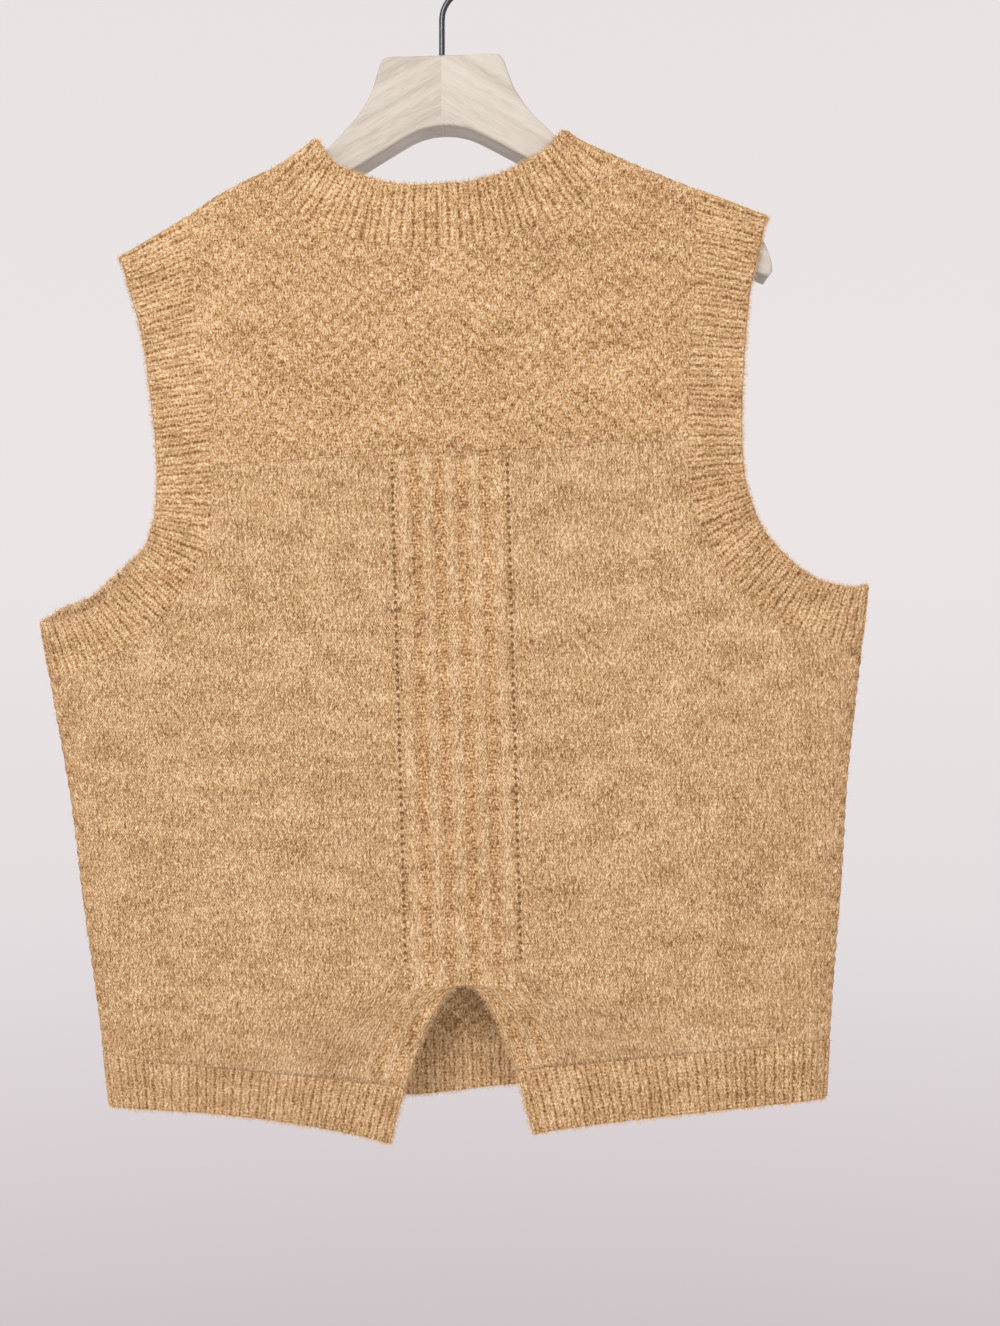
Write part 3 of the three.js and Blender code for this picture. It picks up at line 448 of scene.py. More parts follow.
class Wall:
    """Closed wall made of grids of outer and inner points, with knit coordinates on its corners."""

    def __init__(self):
        self.points = []
        self.faces = []
        self.knit = []
        self.smooth = []
        self.shown = []
        self.count = 0
        self.places = []

    def add(self, middle, normal, raised, lowered, rim, knit_x, knit_y,
            closed=False, joined=None, shared=None):
        """One grid. Rows marked joined meet the grid before it, whose column is shared."""
        rows, columns = rim.shape
        outer = middle + normal * ((WALL / 2 + raised) * rim)[..., None]
        inner = middle - normal * ((WALL / 2 + lowered) * rim)[..., None]
        index = self.count + np.arange(2 * rows * columns).reshape(2, rows, columns)
        self.points += [outer.reshape(-1, 3), inner.reshape(-1, 3)]
        self.count += 2 * rows * columns
        if shared is not None:
            index[:, joined, 0] = shared[:, joined]
        knit = np.stack([knit_x, knit_y], axis=-1)
        if closed:
            index = np.concatenate([index, index[:, :, :1]], axis=2)
            wrap = knit[:, 1:2] - knit[:, 0:1]
            wrap[..., 1] = 0
            knit = np.concatenate([knit, knit[:, -1:] + wrap], axis=1)
            rim = np.concatenate([rim, rim[:, :1]], axis=1)
        across = middle[rows // 2, 1:2] - middle[rows // 2, :1]
        down = middle[rows // 2 + 1, :1] - middle[rows // 2, :1]
        turned = np.sum(np.cross(across, down) * normal[rows // 2, :1]) < 0

        def corners(grid):
            return np.stack([grid[:-1, :-1], grid[:-1, 1:], grid[1:, 1:], grid[1:, :-1]], axis=2)

        def strip(first, second, places, shares):
            loop = np.stack([first[:-1], first[1:], second[1:], second[:-1]], axis=1)
            spots = np.stack([places[:-1], places[1:], places[1:], places[:-1]], axis=1)
            sewn = (shares[:-1] + shares[1:]) / 2 > SEWN_SHARE
            return loop, spots, ~sewn, np.where(sewn, 0, EDGE_FUZZ)

        face_knit = corners(knit).reshape(-1, 4, 2)
        soft = np.ones(len(face_knit), bool)
        near_rim = (1 - corners(rim[..., None])[..., 0].mean(axis=2)).reshape(-1)
        pieces = [
            (corners(index[0]).reshape(-1, 4), face_knit, soft, 1 + RIM_FUZZ * near_rim ** 2),
            (corners(index[1]).reshape(-1, 4)[:, ::-1], face_knit[:, ::-1], soft, 0 * near_rim),
            strip(index[1][0], index[0][0], knit[0], rim[0]),
            strip(index[0][-1], index[1][-1], knit[-1], rim[-1]),
        ]
        if not closed:
            pieces.append(strip(index[1][:, -1], index[0][:, -1], knit[:, -1], rim[:, -1]))
            start = strip(index[0][:, 0], index[1][:, 0], knit[:, 0], rim[:, 0])
            if joined is not None:
                free = ~(joined[:-1] & joined[1:])
                start = tuple(part[free] for part in start)
            pieces.append(start)
        for loop, spots, smooth, fuzz in pieces:
            self.faces.append(loop[:, ::-1] if turned else loop)
            self.knit.append(spots[:, ::-1] if turned else spots)
            self.smooth.append(smooth)
            self.shown.append(fuzz)
        return index[:, :, 0]

    def build(self, name, material):
        points = np.concatenate(self.points) * MM
        faces = np.concatenate(self.faces)
        knit = np.concatenate(self.knit)
        used, flat = np.unique(faces, return_inverse=True)
        mesh = bpy.data.meshes.new(name)
        mesh.from_pydata(points[used].tolist(), [], flat.reshape(faces.shape).tolist())
        layer = mesh.uv_layers.new(name="knit")
        layer.data.foreach_set("uv", knit.reshape(-1).astype(np.float32))
        mesh.polygons.foreach_set("use_smooth", np.concatenate(self.smooth))
        mesh.materials.append(material)
        mesh.update()
        FUZZ_SHARES[name] = np.concatenate(self.shown)
        return add_object(name, mesh)


def add_object(name, data):
    obj = bpy.data.objects.new(name, data)
    bpy.context.scene.collection.objects.link(obj)
    return obj


def rim_profile(distance):
    """Share of the wall's thickness left at a distance from a free edge."""
    u = np.clip(distance / RIM_RADIUS, 0, 1)
    return RIM_SHARE + (1 - RIM_SHARE) * np.sqrt(1 - (1 - u) ** 2)


def seam_profile(distance, dent=SEAM_DENT):
    """Share of the wall's thickness left at a distance from a seam."""
    return 1 - dent * np.exp(-(distance / SEAM_WIDTH) ** 2)


def rolled_edge(distance):
    """Share of the small roll along a free edge."""
    return np.exp(-((distance - EDGE_ROLL_PLACE) / EDGE_ROLL_WIDTH) ** 2)


def strip_rows(length, step):
    """Distances across a strip, close together at both edges."""
    fine = np.array([0, 0.25, 0.65])
    start = RIM_RADIUS
    count = max(2, int(round((length - 2 * start) / step)))
    middle = np.linspace(start, length - start, count + 1)
    return np.concatenate([fine, middle, length - fine[::-1]])


# Knit relief, as heights in millimetres
def rib_height(columns, distance):
    """Two legs on each rib, none of them quite the same size, that start at the seam."""
    wave = 0.5 + 0.18 * np.cos(np.pi * columns) - 0.28 * np.cos(2 * np.pi * columns)
    size = RIB_SIZES[np.rint(columns / 2).astype(int) % len(RIB_SIZES)]
    return RIB_RAISE * (1.15 * wave - 0.45) * size * ease((distance + 0.4) / 2)


def moss_height(s, t):
    """Bumps in a chequered pattern whose rows and columns wander a little."""
    s = s + 1.1 * np.sin(t / 5.3 + 1.7 * np.sin(s / 13))
    t = t + 0.9 * np.sin(s / 6.1 + 1.3 * np.sin(t / 11))
    wave = np.cos(2 * np.pi * s / MOSS_WIDTH) * np.cos(2 * np.pi * t / MOSS_HEIGHT)
    return MOSS_RAISE * np.tanh(MOSS_FIRMNESS * wave)


def centre_rib_height(offset, t):
    """Five broad ribs, lower near the vent, between two lines of pits."""
    wave = 0.5 + 0.5 * np.cos(2 * np.pi * offset / CENTRE_RIB_PITCH)
    inside = 1 - ease((offset - CENTRE_RIB_EDGE + 3) / 2)
    started = ease((YOKE_LEVEL - t) / 6)
    full = mix(CENTRE_RIB_LOW_SHARE, 1, ease((t - VENT_TOP - 8) / 20))
    ribs = (ease(wave * 1.6 - 0.1) * CENTRE_RIB_RAISE - CENTRE_RIB_SINK) * inside * full
    pit = np.exp(-((offset - CENTRE_RIB_EDGE) / PIT_WIDTH) ** 2) * (t > HOLE_END)
    return (ribs - PIT_DEPTH * pit) * started


# Places on the panels
ARM_STEPS = 400
WRAP_STEPS = 60


def ridge_line(s):
    """Level of the shoulder ridge at a length along the cloth."""
    level = np.full_like(s, -90.0)
    for _ in range(3):
        total = reach_of(level)
        across = np.sign(s) * np.sin(grid_value(TURNS, level, np.abs(s) / total)) * half_width_at(level)
        level = ridge_top(across)
    return level


def arm_edge(side, hand, start, end, count):
    """A panel's edge along its armhole between two shares of it, from the ridge to the side seam."""
    hole = ARMHOLES[hand]
    shares = np.linspace(0, 1, ARM_STEPS + 1)
    if side < 0:
        numbers, _ = spread(hole.near, side, 0, hole.corner, ARM_STEPS, w=0)
        g = np.interp(np.linspace(start, end, count + 1), shares, numbers)
        s, t = hole.near(g, 0)
        return hand * np.minimum(np.abs(s), reach_of(t) - SIDE_WRAP), t
    numbers, first = spread(hole.far, side, 0, FOLD_RUNG, ARM_STEPS, w=0)
    wrapped, second = spread(hole.near, -side, FOLD_RUNG, hole.corner, WRAP_STEPS, w=0)
    beyond = first + np.linspace(0, second, WRAP_STEPS + 1)[1:]
    lengths = np.concatenate([np.linspace(0, first, ARM_STEPS + 1), beyond])
    far_s, far_t = hole.far(numbers, 0)
    near_s, near_t = hole.near(wrapped[1:], 0)
    s = np.concatenate([far_s, hand * (2 * reach_of(near_t) - np.abs(near_s))])
    t = np.concatenate([far_t, near_t])
    want = np.linspace(start, end, count + 1) * lengths[-1]
    s, t = np.interp(want, lengths, s), np.interp(want, lengths, t)
    return hand * np.minimum(np.abs(s), reach_of(t) + SIDE_WRAP), t


def neck_edge(name, hand, count):
    rung = rung_lines(NECK[name], hand, False)
    side = -1 if name == "back" else 1
    numbers, _ = spread(rung, side, RIDGE_RUNG, 0, count, w=0)
    return rung(numbers, 0)


def side_edge(side, hand, levels):
    wrap = -SIDE_WRAP if side < 0 else SIDE_WRAP
    return hand * (reach_of(levels) + wrap), levels


def hem_levels(side, across):
    """Levels of the hem's top and bottom lines."""
    across = np.asarray(across, float)
    if side > 0:
        x = across / HEM_FRONT["ripple_width"]
        ripple = HEM_FRONT["ripple"] * across * np.exp(-x * x)
        middle = 1 - ease(np.abs(across) / HEM_SIDE)
        top = np.full_like(across, HEM_FRONT["top"])
        return top, HEM_FRONT["bottom"] + HEM_FRONT["bottom_rise"] * middle + ripple
    left, right = HEM_BACK["left"], HEM_BACK["right"]
    lines = {key: np.where(across < 0, left[key], right[key]) for key in left}
    near = np.clip((HEM_SIDE - np.abs(across)) / HEM_SPAN, 0, 1)
    bottom = lines["bottom"] - lines["bottom_drop"] * near ** lines["lateness"]
    return lines["top"] - lines["top_drop"] * near, bottom


def vent_line(hand, level):
    """The vent's edge, an arch that leans a little to the left as it opens."""
    below = np.maximum(0, VENT_TOP - level)
    return hand * VENT_SPREAD * np.sqrt(below) - VENT_LEAN * below


def vent_push(hand, distance, level):
    """How far the vent pushes aside the stitch columns that lie at a distance from its edge."""
    below = np.maximum(0, VENT_TOP - level)
    late = 1 - np.exp(-below / (0.5 * distance + 0.01))
    return vent_line(hand, level) * late * ease(1 - distance / VENT_REACH)


def vent_corner(hand, which):
    """Level where the vent's edge meets the hem's top line (which 0) or bottom line (which 1)."""
    level = HEM_FRONT["top"]
    for _ in range(4):
        level = float(hem_levels(-1, vent_line(hand, level))[which])
    return level


# Half-width from which the fine columns keep their full spacing, and how far down rows follow the ridge
FULL_SPACING_WIDTH = 145
RIDGE_REACH = 60


def panel_grid(side, inner, outer, columns, ridge_rows=0, hem_share=None):
    """Pattern places of a panel half, whose rows follow the shoulder ridge and the hem."""
    (s0, t0), (s1, t1) = inner, outer
    near_centre, near_side, middle = columns
    length = np.abs(s1 - s0)[:, None]
    scale = np.minimum(1, length / FULL_SPACING_WIDTH)
    first = near_centre[None, :] * scale
    last = length - near_side[None, ::-1] * scale
    u = np.linspace(0, 1, middle + 2)[1:-1][None, :]
    distance = np.concatenate([first, mix(first[:, -1:], last[:, :1], u), last], axis=1)
    u = distance / length
    s = mix(s0[:, None], s1[:, None], u)
    t = mix(t0[:, None], t1[:, None], u)
    if ridge_rows:
        follow = np.clip(1 - (ridge_line(s0) - t0) / RIDGE_REACH, 0, 1)
        follow[0] = 1
        bend = ridge_line(s) - mix(ridge_line(s0)[:, None], ridge_line(s1)[:, None], u)
        t = t + follow[:, None] * bend
    if hem_share is not None:
        def line(value):
            return hem_levels(side, np.clip(value, -HEM_SIDE, HEM_SIDE))[0]
        bend = line(s) - mix(line(s0)[:, None], line(s1)[:, None], u)
        t = t + (hem_share ** 2)[:, None] * bend
    return s, t, distance, length


# Fine columns at the centre, fine columns at the side, and how many lie between them
YOKE_COLUMNS = (np.array([0, 0.3, 0.8, 1.6]), np.array([0, 0.3, 0.8, 1.6]), 104)
BODY_COLUMNS = (
    np.concatenate([[0, 0.3, 0.8], np.arange(1.6, 40, 0.95)]),
    np.array([0, 0.4, 1, 2, 4, 7, 10, 14]),
    44,
)
FRONT_COLUMNS = (np.array([0, 0.4, 1, 2]), np.concatenate([[0, 0.4], np.arange(1, 24, 1.3)]), 66)
NECK_ROWS = 100
YOKE_LOW_ROWS = 88
YOKE_UPPER_SHARE = 0.5
FRONT_UPPER_SHARE = 0.45
CALM_WIDTH = 3
BODY_BREAK = 6


def arm_share_at_yoke(hand):
    """Share of the armhole edge that lies above the yoke's lower line."""
    return np.argmax(arm_edge(-1, hand, 0, 1, 1200)[1] < YOKE_LEVEL) / 1200


def join_rows(*parts):
    return tuple(np.concatenate([part[k] for part in parts]) for k in (0, 1))


def start_on_ridge(inner, outer):
    for line in (inner, outer):
        line[1][0] = ridge_line(line[0][:1])[0]


def add_half(wall, side, inner, outer, columns, relief, profile, joined, shared, **bends):
    """Adds one half of a panel to a wall. The profile shapes its inner edge where the halves part."""
    s, t, distance, length = panel_grid(side, inner, outer, columns, **bends)
    free = np.where(joined[:, None], 9, distance)
    rim = seam_profile(length - distance) * profile(free)
    raised, knit_x = relief(s, t, distance, length, free)
    middle, normal = cloth_point(side, s, t), cloth_normal(side, s, t)
    wall.places.append((s, t))
    return wall.add(middle, normal, raised, raised * INNER_SHARE["panel"], rim, knit_x, t / COURSE,
                    joined=joined, shared=shared)


def moss_relief(s, t, distance, length, free):
    ends = ease((length - distance) / CALM_WIDTH) * ease(np.abs(t - YOKE_LEVEL) / CALM_WIDTH)
    return moss_height(s, t) * ends, s / WALE


def make_yoke(material):
    wall = Wall()
    shared = None
    for hand in (-1, 1):
        share = arm_share_at_yoke(hand)
        neck = neck_edge("back", hand, NECK_ROWS)
        down = np.linspace(NECK_CENTRE["back"], YOKE_LEVEL, YOKE_LOW_ROWS + 1)[1:]
        inner = join_rows(neck, (np.zeros(YOKE_LOW_ROWS), down))
        upper = arm_edge(-1, hand, 0, share * YOKE_UPPER_SHARE, NECK_ROWS)
        lower = arm_edge(-1, hand, share * YOKE_UPPER_SHARE, share, YOKE_LOW_ROWS)
        outer = join_rows(upper, (lower[0][1:], lower[1][1:]))
        inner[0][NECK_ROWS] = 0
        start_on_ridge(inner, outer)
        outer[1][-1] = YOKE_LEVEL
        joined = np.arange(len(inner[0])) >= NECK_ROWS
        shared = add_half(wall, -1, inner, outer, YOKE_COLUMNS, moss_relief, seam_profile, joined, shared,
                          ridge_rows=NECK_ROWS)
    return wall.build("yoke_back", material), cut_of(*wall.places)


def make_body(material):
    wall = Wall()
    shared = None
    arm_rows, side_rows, vent_rows = 54, 72, 30
    for hand in (-1, 1):
        arm = arm_edge(-1, hand, arm_share_at_yoke(hand), 1, arm_rows)
        arm[1][0] = YOKE_LEVEL
        middle = UNDERARM - BODY_BREAK
        centre = np.linspace(YOKE_LEVEL, middle, arm_rows + 1)
        centre_low = np.linspace(middle, VENT_TOP, side_rows + 1)[1:]
        u = np.linspace(0, 1, vent_rows + 1)[1:]
        inner_top = vent_corner(hand, 0)
        side_top = hem_levels(-1, hand * HEM_SIDE)[0]
        vent = mix(VENT_TOP, inner_top, u * u)
        inner = join_rows((np.zeros(arm_rows + 1 + side_rows), np.concatenate([centre, centre_low])),
                          (vent_line(hand, vent), vent))
        side_levels = np.linspace(arm[1][-1], VENT_TOP, side_rows + 1)[1:]
        side_levels = np.concatenate([side_levels, mix(VENT_TOP, side_top, u)])
        outer = join_rows(arm, side_edge(-1, hand, side_levels))
        rows = len(inner[0])
        joined = np.arange(rows) <= arm_rows + side_rows

        def relief(s, t, distance, length, free):
            lip = VENT_LIP * rolled_edge(free)
            column = s - vent_push(hand, distance, t)
            ribs = centre_rib_height(np.abs(column), t) * ease((length - distance) / CALM_WIDTH)
            return ribs + lip, column / WALE

        hem_share = np.concatenate([np.zeros(rows - vent_rows), u])
        shared = add_half(wall, -1, inner, outer, BODY_COLUMNS, relief, rim_profile, joined, shared,
                          hem_share=hem_share)
    return wall.build("body_back", material), cut_of(*wall.places)


def make_front(material):
    wall = Wall()
    shared = None
    neck_rows, arm_rows, side_rows = 60, 70, 84
    for hand in (-1, 1):
        upper = arm_edge(1, hand, 0, FRONT_UPPER_SHARE, neck_rows)
        lower = arm_edge(1, hand, FRONT_UPPER_SHARE, 1, arm_rows)
        guide = arm_edge(1, 1, FRONT_UPPER_SHARE, 1, arm_rows)[1]
        by_level = (guide - guide[0]) / (guide[-1] - guide[0])
        by_count = np.linspace(0, 1, arm_rows + 1)
        down = mix(NECK_CENTRE["front"], UNDERARM, mix(by_count, by_level, 0.75))[1:]
        low = np.linspace(down[-1], HEM_FRONT["top"], side_rows + 1)[1:]
        inner = join_rows(neck_edge("front", hand, neck_rows),
                          (np.zeros(arm_rows + side_rows), np.concatenate([down, low])))
        side_levels = np.linspace(lower[1][-1], HEM_FRONT["top"], side_rows + 1)[1:]
        outer = join_rows(upper, (lower[0][1:], lower[1][1:]), side_edge(1, hand, side_levels))
        inner[0][neck_rows] = 0
        start_on_ridge(inner, outer)
        joined = np.arange(len(inner[0])) >= neck_rows
        shared = add_half(wall, 1, inner, outer, FRONT_COLUMNS, moss_relief, seam_profile, joined, shared,
                          ridge_rows=neck_rows)
    return wall.build("panel_front", material), cut_of(*wall.places)


# Ribbed bands: columns in half a rib, spacing of rows, and how far a hem's top reaches into its panel
SAMPLES = 4
ROW_STEP = 2.4
HEM_TUCK = 0.25


def make_band(name, stretches, length, pitch, material):
    """Rib band round an opening. A stretch is side, rung, start and end."""
    places = []
    cut_width, cut_area = 0.0, 0.0
    distance = strip_rows(length, ROW_STEP)
    for side, rung, start, end in stretches:
        _, run = spread(rung, side, start, end, 8)
        count = 2 * int(round(run / pitch))
        numbers, _ = spread(rung, side, start, end, count * SAMPLES)
        numbers = numbers[:-1][None, :]
        s0, t0 = rung(numbers, 0)
        s1, t1 = rung(numbers, 1)
        cut_width += run
        cut_area += run * np.hypot(s1 - s0, t1 - t0).mean()
        w = (distance / length)[:, None]
        s, t = mix(s0, s1, w), mix(t0, t1, w)
        places.append((cloth_point(side, s, t), cloth_normal(side, s, t)))
    middle, normal = (np.concatenate([place[k] for place in places], axis=1) for k in (0, 1))
    columns = np.arange(middle.shape[1])[None, :] / SAMPLES + np.zeros((len(distance), 1))
    across = distance[:, None] + np.zeros_like(columns)
    rim = seam_profile(across) * rim_profile(length - across)
    rolled = EDGE_ROLL_RAISE * rolled_edge(length - across)
    raised = rib_height(columns, across) * (1 - rolled) + rolled
    lowered = rib_height(columns + 1, across) * INNER_SHARE["band"] * (1 - rolled)
    wall = Wall()
    wall.add(middle, normal, raised, lowered, rim, columns, across / COURSE, closed=True)
    return wall.build(name, material), (cut_width, cut_area / cut_width)


def make_armband(hand, material):
    hole = ARMHOLES[hand]
    stretches = [(-1, hole.near, 0, FOLD_RUNG), (1, hole.far, FOLD_RUNG, 0)]
    name = "arm_rib_" + SIDE_NAMES[hand]
    return make_band(name, stretches, BAND_DEPTH["arm"], RIB_PITCH["arm"], material)


def make_neckband(material):
    stretches = []
    for name, side, hand, start, end in (
        ("back", -1, -1, RIDGE_RUNG, 0),
        ("back", -1, 1, 0, RIDGE_RUNG),
        ("front", 1, 1, RIDGE_RUNG, 0),
        ("front", 1, -1, 0, RIDGE_RUNG),
    ):
        stretches.append((side, rung_lines(NECK[name], hand, False), start, end))
    return make_band("neck_rib", stretches, BAND_DEPTH["neck"], RIB_PITCH["neck"], material)


def make_hem(name, side, start, end, length, pitch, material):
    """Rib hem between two end lines, which give s for a share w of its depth."""
    distance = strip_rows(length, ROW_STEP)
    w = (distance / length)[:, None]
    run = abs(float(end(np.array(0.5)) - start(np.array(0.5))))
    count = 2 * int(round(run / pitch)) + 1
    fine = np.array([0.1, 0.3])
    last = count * SAMPLES
    numbers = np.concatenate([[0], fine, np.arange(1, last), last - fine[::-1], [last]])
    u = (numbers / last)[None, :]
    s = mix(start(w), end(w), u)
    top, bottom = hem_levels(side, np.clip(s, -HEM_SIDE, HEM_SIDE))
    t = mix(top + HEM_TUCK, bottom, w)
    columns = numbers[None, :] / SAMPLES - 0.5 + 0 * s
    across = distance[:, None] + 0 * s
    from_end = np.minimum(u, 1 - u) * run
    ends = np.minimum(rim_profile(length - across), rim_profile(from_end + 0 * s))
    rim = seam_profile(across, HEM_DENT) * ends
    lowered = rib_height(columns + 1, across) * INNER_SHARE["band"]
    wall = Wall()
    wall.add(cloth_point(side, s, t), cloth_normal(side, s, t), rib_height(columns, across), lowered,
             rim, columns, across / COURSE)
    return wall.build(name, material), cut_of((s, t))


def hem_end_at_seam(side, hand):
    wrap = -SIDE_WRAP if side < 0 else SIDE_WRAP

    def end(w):
        return hand * (reach_of(mix(HEM_FRONT["top"], HEM_FRONT["bottom"], w)) + wrap)
    return end


def hem_end_at_vent(hand):
    top, bottom = vent_corner(hand, 0), vent_corner(hand, 1)

    def end(w):
        return vent_line(hand, mix(top, bottom, w))
    return end


# Hanger
def smooth_outline(points, count):
    """Catmull-Rom line through outline points, with even shares between them."""
    points = np.asarray(points, float)
    places = np.linspace(0, len(points) - 1, count + 1)
    i = np.minimum(places.astype(int), len(points) - 2)
    u = (places - i)[:, None]
    before, a, b, after = (points[np.clip(i + k, 0, len(points) - 1)] for k in (-1, 0, 1, 2))
    m0, m1 = (b - before) / 2, (after - a) / 2
    u2, u3 = u * u, u * u * u
    return (2 * u3 - 3 * u2 + 1) * a + (u3 - 2 * u2 + u) * m0 + (3 * u2 - 2 * u3) * b + (u3 - u2) * m1


def inset(outline, distance):
    """Closed outline moved inwards by a distance; its first and last points stay on the centre seam."""
    before, after = np.roll(outline, 1, axis=0), np.roll(outline, -1, axis=0)
    before[0] = outline[0] - (outline[1] - outline[0])
    after[-1] = outline[-1] + (outline[-1] - outline[-2])
    along = after - before
    along /= np.linalg.norm(along, axis=1, keepdims=True)
    moved = outline + np.stack([along[:, 1], -along[:, 0]], axis=1) * distance
    moved[[0, -1], 0] = 0
    return moved


def make_wood(hand, material, easing):
    """One half of the hanger: a board with eased edges, cut square at the centre seam."""
    highest = WOOD_TOP[0][1]
    top = smooth_outline([(0, highest), (WOOD_FLAT_TOP, highest), *WOOD_TOP], WOOD_TOP_STEPS)
    under = smooth_outline(WOOD_UNDER, WOOD_UNDER_STEPS)
    outline = np.concatenate([top, under])
    if hand < 0:
        far = outline[:, 0] > WOOD_SHOULDER
        outline[far, 0] = WOOD_SHOULDER + (outline[far, 0] - WOOD_SHOULDER) * LEFT_ARM_SHARE
    half = WOOD_THICKNESS / 2
    rings = []
    for turn in range(0, 91, EASING_STEP):
        angle = math.radians(turn)
        rings.append((easing * (1 - math.cos(angle)), half - easing * (1 - math.sin(angle))))
    rings.insert(0, (0.0, rings[0][1] - WOOD_INNER_RING))
    profile = [(shift, -depth) for shift, depth in reversed(rings)] + rings
    roll = math.radians(WOOD_ROLL)
    points = []
    for shift, y in profile:
        ring = inset(outline, shift)
        x, z = hand * ring[:, 0], ring[:, 1]
        points.append(np.stack([x * math.cos(roll) - z * math.sin(roll), np.full(len(x), y),
                                x * math.sin(roll) + z * math.cos(roll) - HOOK_DROP], axis=1))
    count = len(outline)
    mesh = bpy.data.meshes.new("wood")
    faces = []
    for i in range(len(points) - 1):
        for k in range(count):
            a, b = i * count + k, i * count + (k + 1) % count
            faces.append((a, b, b + count, a + count))
    faces.append(tuple(range(count))[::-1])
    faces.append(tuple(range((len(points) - 1) * count, len(points) * count)))
    mesh.from_pydata((np.concatenate(points) * MM).tolist(), [], faces)
    if hand < 0:
        mesh.flip_normals()
    mesh.polygons.foreach_set("use_smooth", np.array([len(face) == 4 for face in faces]))
    mesh.materials.append(material)
    mesh.update()
    return add_object("wood_" + SIDE_NAMES[hand], mesh)


# Hook
def hook_path():
    """Points along the wire from inside the wood to the open tip."""
    radius = HOOK_INNER_RADIUS + WIRE_RADIUS

    def on_circle(degrees):
        angle = math.radians(degrees)
        return np.array([radius * math.cos(angle), radius * math.sin(angle) - HOOK_INNER_RADIUS])
    join = on_circle(HOOK_JOIN_ANGLE)
    angle = math.radians(HOOK_JOIN_ANGLE)
    tangent = np.array([-math.sin(angle), math.cos(angle)])
    a, b = (np.array([0, join[1] - HOOK_BEND[key]]) for key in ("length", "pull"))
    c = join - HOOK_BEND["pull"] * tangent
    shank = np.arange(-HOOK_DROP - SHANK_SINK, join[1] - HOOK_BEND["straight"], HOOK_STEP)
    points = [np.array([0.0, z]) for z in shank]
    for u in np.linspace(0, 1, HOOK_BEND["steps"] + 1):
        v = 1 - u
        points.append(v ** 3 * a + 3 * u * v * v * b + 3 * u * u * v * c + u ** 3 * join)
    turns = range(HOOK_JOIN_ANGLE + HOOK_STEP, HOOK_END_ANGLE + 1, HOOK_STEP)
    points += [on_circle(degrees) for degrees in turns]
    return [Vector((x * MM, 0, z * MM)) for x, z in points]


def make_hook(material, radius):
    """Round wire along the hook's path, with a rounded open tip."""
    path = hook_path()
    sides = WIRE_SIDES
    rings, faces, points = [], [], []
    for i, point in enumerate(path):
        tangent = (path[min(i + 1, len(path) - 1)] - path[max(i - 1, 0)]).normalized()
        outward = Vector((0, 1, 0))
        inward = tangent.cross(outward)
        rings.append((point, outward, inward, radius))
    tip, outward, inward, _ = rings[-1]
    tangent = (path[-1] - path[-2]).normalized()
    for turn in WIRE_TIP_TURNS:
        angle = math.radians(turn)
        centre = tip + tangent * radius * WIRE_TIP_LENGTH * math.sin(angle)
        rings.append((centre, outward, inward, radius * max(math.cos(angle), WIRE_TIP_FACE)))
    for centre, first, second, size in rings:
        for k in range(sides):
            angle = 2 * math.pi * k / sides
            points.append(centre + first * (size * math.cos(angle)) + second * (size * math.sin(angle)))
    for i in range(len(rings) - 1):
        for k in range(sides):
            a, b = i * sides + k, i * sides + (k + 1) % sides
            faces.append((a, b, b + sides, a + sides))
    faces.append(tuple(reversed(range(sides))))
    faces.append(tuple(range((len(rings) - 1) * sides, len(rings) * sides)))
    mesh = bpy.data.meshes.new("hook_wire")
    mesh.from_pydata([tuple(p) for p in points], [], faces)
    mesh.polygons.foreach_set("use_smooth", np.ones(len(faces), bool))
    mesh.materials.append(material)
    mesh.update()
    return add_object("hook_wire", mesh)


# Fibres that stand off the knit: seed, size in millimetres, and how many there are near an edge
FIBRE_SEED = 11
FIBRE_RADIUS = 0.12
FIBRE_TAPER = 0.8
FIBRE_ROOT = 0.2
FIBRE_SHORTEST = 0.3
FIBRE_LEAN = 0.75
FIBRE_BEND = 0.6
FIBRE_DROOP = 0.25
RIM_FUZZ = 70
EDGE_FUZZ = 50
FLAT_FUZZ = 0.14
TURNED_FUZZ = 3.5
# Faces of one fibre: points 0 to 2 at its root, 3 to 5 at its knee and 6 at its tip
FIBRE_FACES = np.array([
    (0, 1, 4), (0, 4, 3), (1, 2, 5), (1, 5, 4), (2, 0, 3), (2, 3, 5), (3, 4, 6), (4, 5, 6), (5, 3, 6),
])


